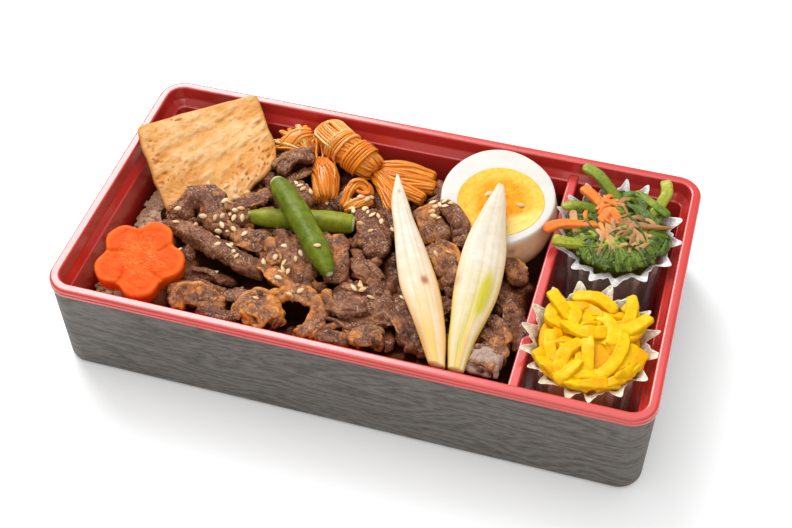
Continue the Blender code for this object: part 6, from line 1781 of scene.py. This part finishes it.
def lying(names, rng, spots, least_up):
    """Where seeds dropped round the spots come to rest on the named objects, each clear of the
    others and on a face that points up enough: rows of (place, normal)."""
    tree = tree_of(names)
    out = []
    for cx, cy, sx, sy, count in spots:
        done = 0
        for _ in range(count * 8):
            if done == count:
                break
            x, y = cx + rng.normal() * sx * 0.6, cy + rng.normal() * sy * 0.6
            hit, normal, _, _ = tree.ray_cast(Vector((x * MM, y * MM, DROP_HEIGHT)), Vector((0, 0, -1)))
            if hit is None or normal.z < least_up:
                continue
            where = np.array(hit) / MM
            if any(np.linalg.norm(where - other) < SEED_GAP for other, _ in out):
                continue
            out.append((where, np.array(normal)))
            done += 1
    return out


def seeds(name, places, nodes):
    """Drop-shaped seeds lying flat at the places."""
    rng = np.random.default_rng(len(places) + 5)
    shapes = []
    for where, normal in places:
        spin = rng.uniform(0, TURN)
        size = rng.uniform(0.88, 1.12)
        body = pill(SEED_LENGTH * size, SEED_WIDTH * size, SEED_HIGH * size, 0.60)
        body[..., 1] *= (1.12 - 0.35 * np.linspace(0, 1, 9))[:, None]
        lean = normal + rng.normal(0, 0.12, 3)
        way = np.array((math.cos(spin), math.sin(spin), 0.01))
        shape = round_grid(placed(body, where + normal * SEED_LIFT, way, lean))
        shapes.append(shape + (rng.uniform(0.15, 1.0),))
    piece(name, shapes, seed_look, nodes)


seed_look = seed_finish()
rng = np.random.default_rng(401)
# Place, reach in x and y, and count
MEAT_SEEDS = [(-60, -7, 6, 7, 16), (-45, 13, 5, 3, 5), (17, 17, 6, 4, 10), (-58, -20, 14, 8, 9),
              (-33, -17, 9, 10, 9), (-4, 6, 7, 9, 8), (3, -28, 11, 7, 8), (-28, -38, 12, 8, 6),
              (24, -5, 7, 7, 3), (-45, -33, 12, 8, 4), (-74, -9, 10, 6, 3), (-64, -38, 9, 6, 2),
              (28, -24, 6, 8, 2), (-36, 18, 5, 3, 8), (-12, 14, 4, 3, 4)]
SEED_PLACES = [
    # piece, what it lies on, spots, least upward normal, node, slot
    ("sesame_on_beef", [*BEEF_PIECES, "beef_pale"], MEAT_SEEDS, 0.55, "beef", "beef"),
    ("sesame_on_tofu", ["tofu_skin"], [(-66, 4, 7, 6, 15)], 0.5, "tofu", "fried_tofu"),
    ("sesame_on_noodles", ["noodle_small", "noodle_mass"], [(-16, 20, 6, 5, 5)], 0.4, "shirataki_small",
     "shirataki"),
    ("sesame_on_bean", ["bean_pod_over"], [(-19.5, -18.5, 0.5, 0.5, 1)], 0.5, "bean_over", "green_bean"),
    ("sesame_on_yolk", ["egg_yolk_crumbly"], [(35, 29, 1, 1, 1), (46, 26, 1, 1, 1)], 0.5, "egg_yolk",
     "egg_yolk"),
]
for name, under, spots, least_up, node, slot in SEED_PLACES:
    seeds(name, lying(under, rng, spots, least_up), [node])


# Floor, light and camera.
# Metres from here on
FLOOR_HALF = 3
WORLD_LIGHT = 0.47
CAMERA_PLACE = (0.106503, -0.333698, 0.412155)
CAMERA_RIGHT = Vector((0.95935107, 0.28208405, -0.00860836))
CAMERA_UP = Vector((-0.20369348, 0.71321699, 0.67069404))
CAMERA_AHEAD = Vector((-0.19533172, 0.64167758, -0.74168417))
CAMERA_LENS = 60.888
CAMERA_SENSOR = 36.0


def floor():
    """A pale floor: one wide plane under the box, faintly lit from within to keep it white."""
    look = Finish("pale_floor", Roughness=0.8, Specular_IOR_Level=0.2, Emission_Color=(1, 1, 1, 1),
                  Emission_Strength=0.07)
    look.colour(look.ramp(look.noise(120.0, 2.0), (0.3, (0.97, 0.97, 0.97, 1)), (0.7, (0.99, 0.99, 0.99, 1))))
    mesh = bpy.data.meshes.new("floor")
    mesh.from_pydata([(x * FLOOR_HALF, y * FLOOR_HALF, 0) for x, y in ((-1, -1), (1, -1), (1, 1), (-1, 1))], [],
                     [(0, 1, 2, 3)])
    mesh.materials.append(look.material)
    made = bpy.data.objects.new("floor", mesh)
    bpy.context.scene.collection.objects.link(made)


def area_light(name, place, aim, width, height, power):
    """A rectangular softbox aimed at a point."""
    data = bpy.data.lights.new(name, "AREA")
    data.shape = "RECTANGLE"
    data.size = width
    data.size_y = height
    data.energy = power
    made = bpy.data.objects.new(name, data)
    made.location = place
    made.rotation_euler = (Vector(aim) - Vector(place)).to_track_quat("-Z", "Y").to_euler()
    bpy.context.scene.collection.objects.link(made)


floor()
area_light("back_left_softbox", (-0.55, 0.65, 0.80), (0.0, 0.0, 0.03), 0.7, 0.7, 11.5)
area_light("top_softbox", (-0.10, 0.10, 1.20), (0.0, 0.0, 0.0), 1.5, 1.5, 8.5)
area_light("front_fill", (0.35, -0.9, 0.75), (0.0, 0.0, 0.03), 0.9, 0.6, 2.6)
world = bpy.data.worlds.new("studio")
world.use_nodes = True
world.node_tree.nodes["Background"].inputs["Color"].default_value = (1.0, 1.0, 1.0, 1.0)
world.node_tree.nodes["Background"].inputs["Strength"].default_value = WORLD_LIGHT
bpy.context.scene.world = world

camera_data = bpy.data.cameras.new("photo_camera")
camera_data.lens = CAMERA_LENS
camera_data.sensor_width = CAMERA_SENSOR
camera = bpy.data.objects.new("photo_camera", camera_data)
turned = Matrix((CAMERA_RIGHT, CAMERA_UP, -CAMERA_AHEAD)).transposed().to_4x4()
camera.matrix_world = Matrix.Translation(CAMERA_PLACE) @ turned
bpy.context.scene.collection.objects.link(camera)
bpy.context.scene.camera = camera
bpy.context.scene.view_settings.view_transform = "Standard"
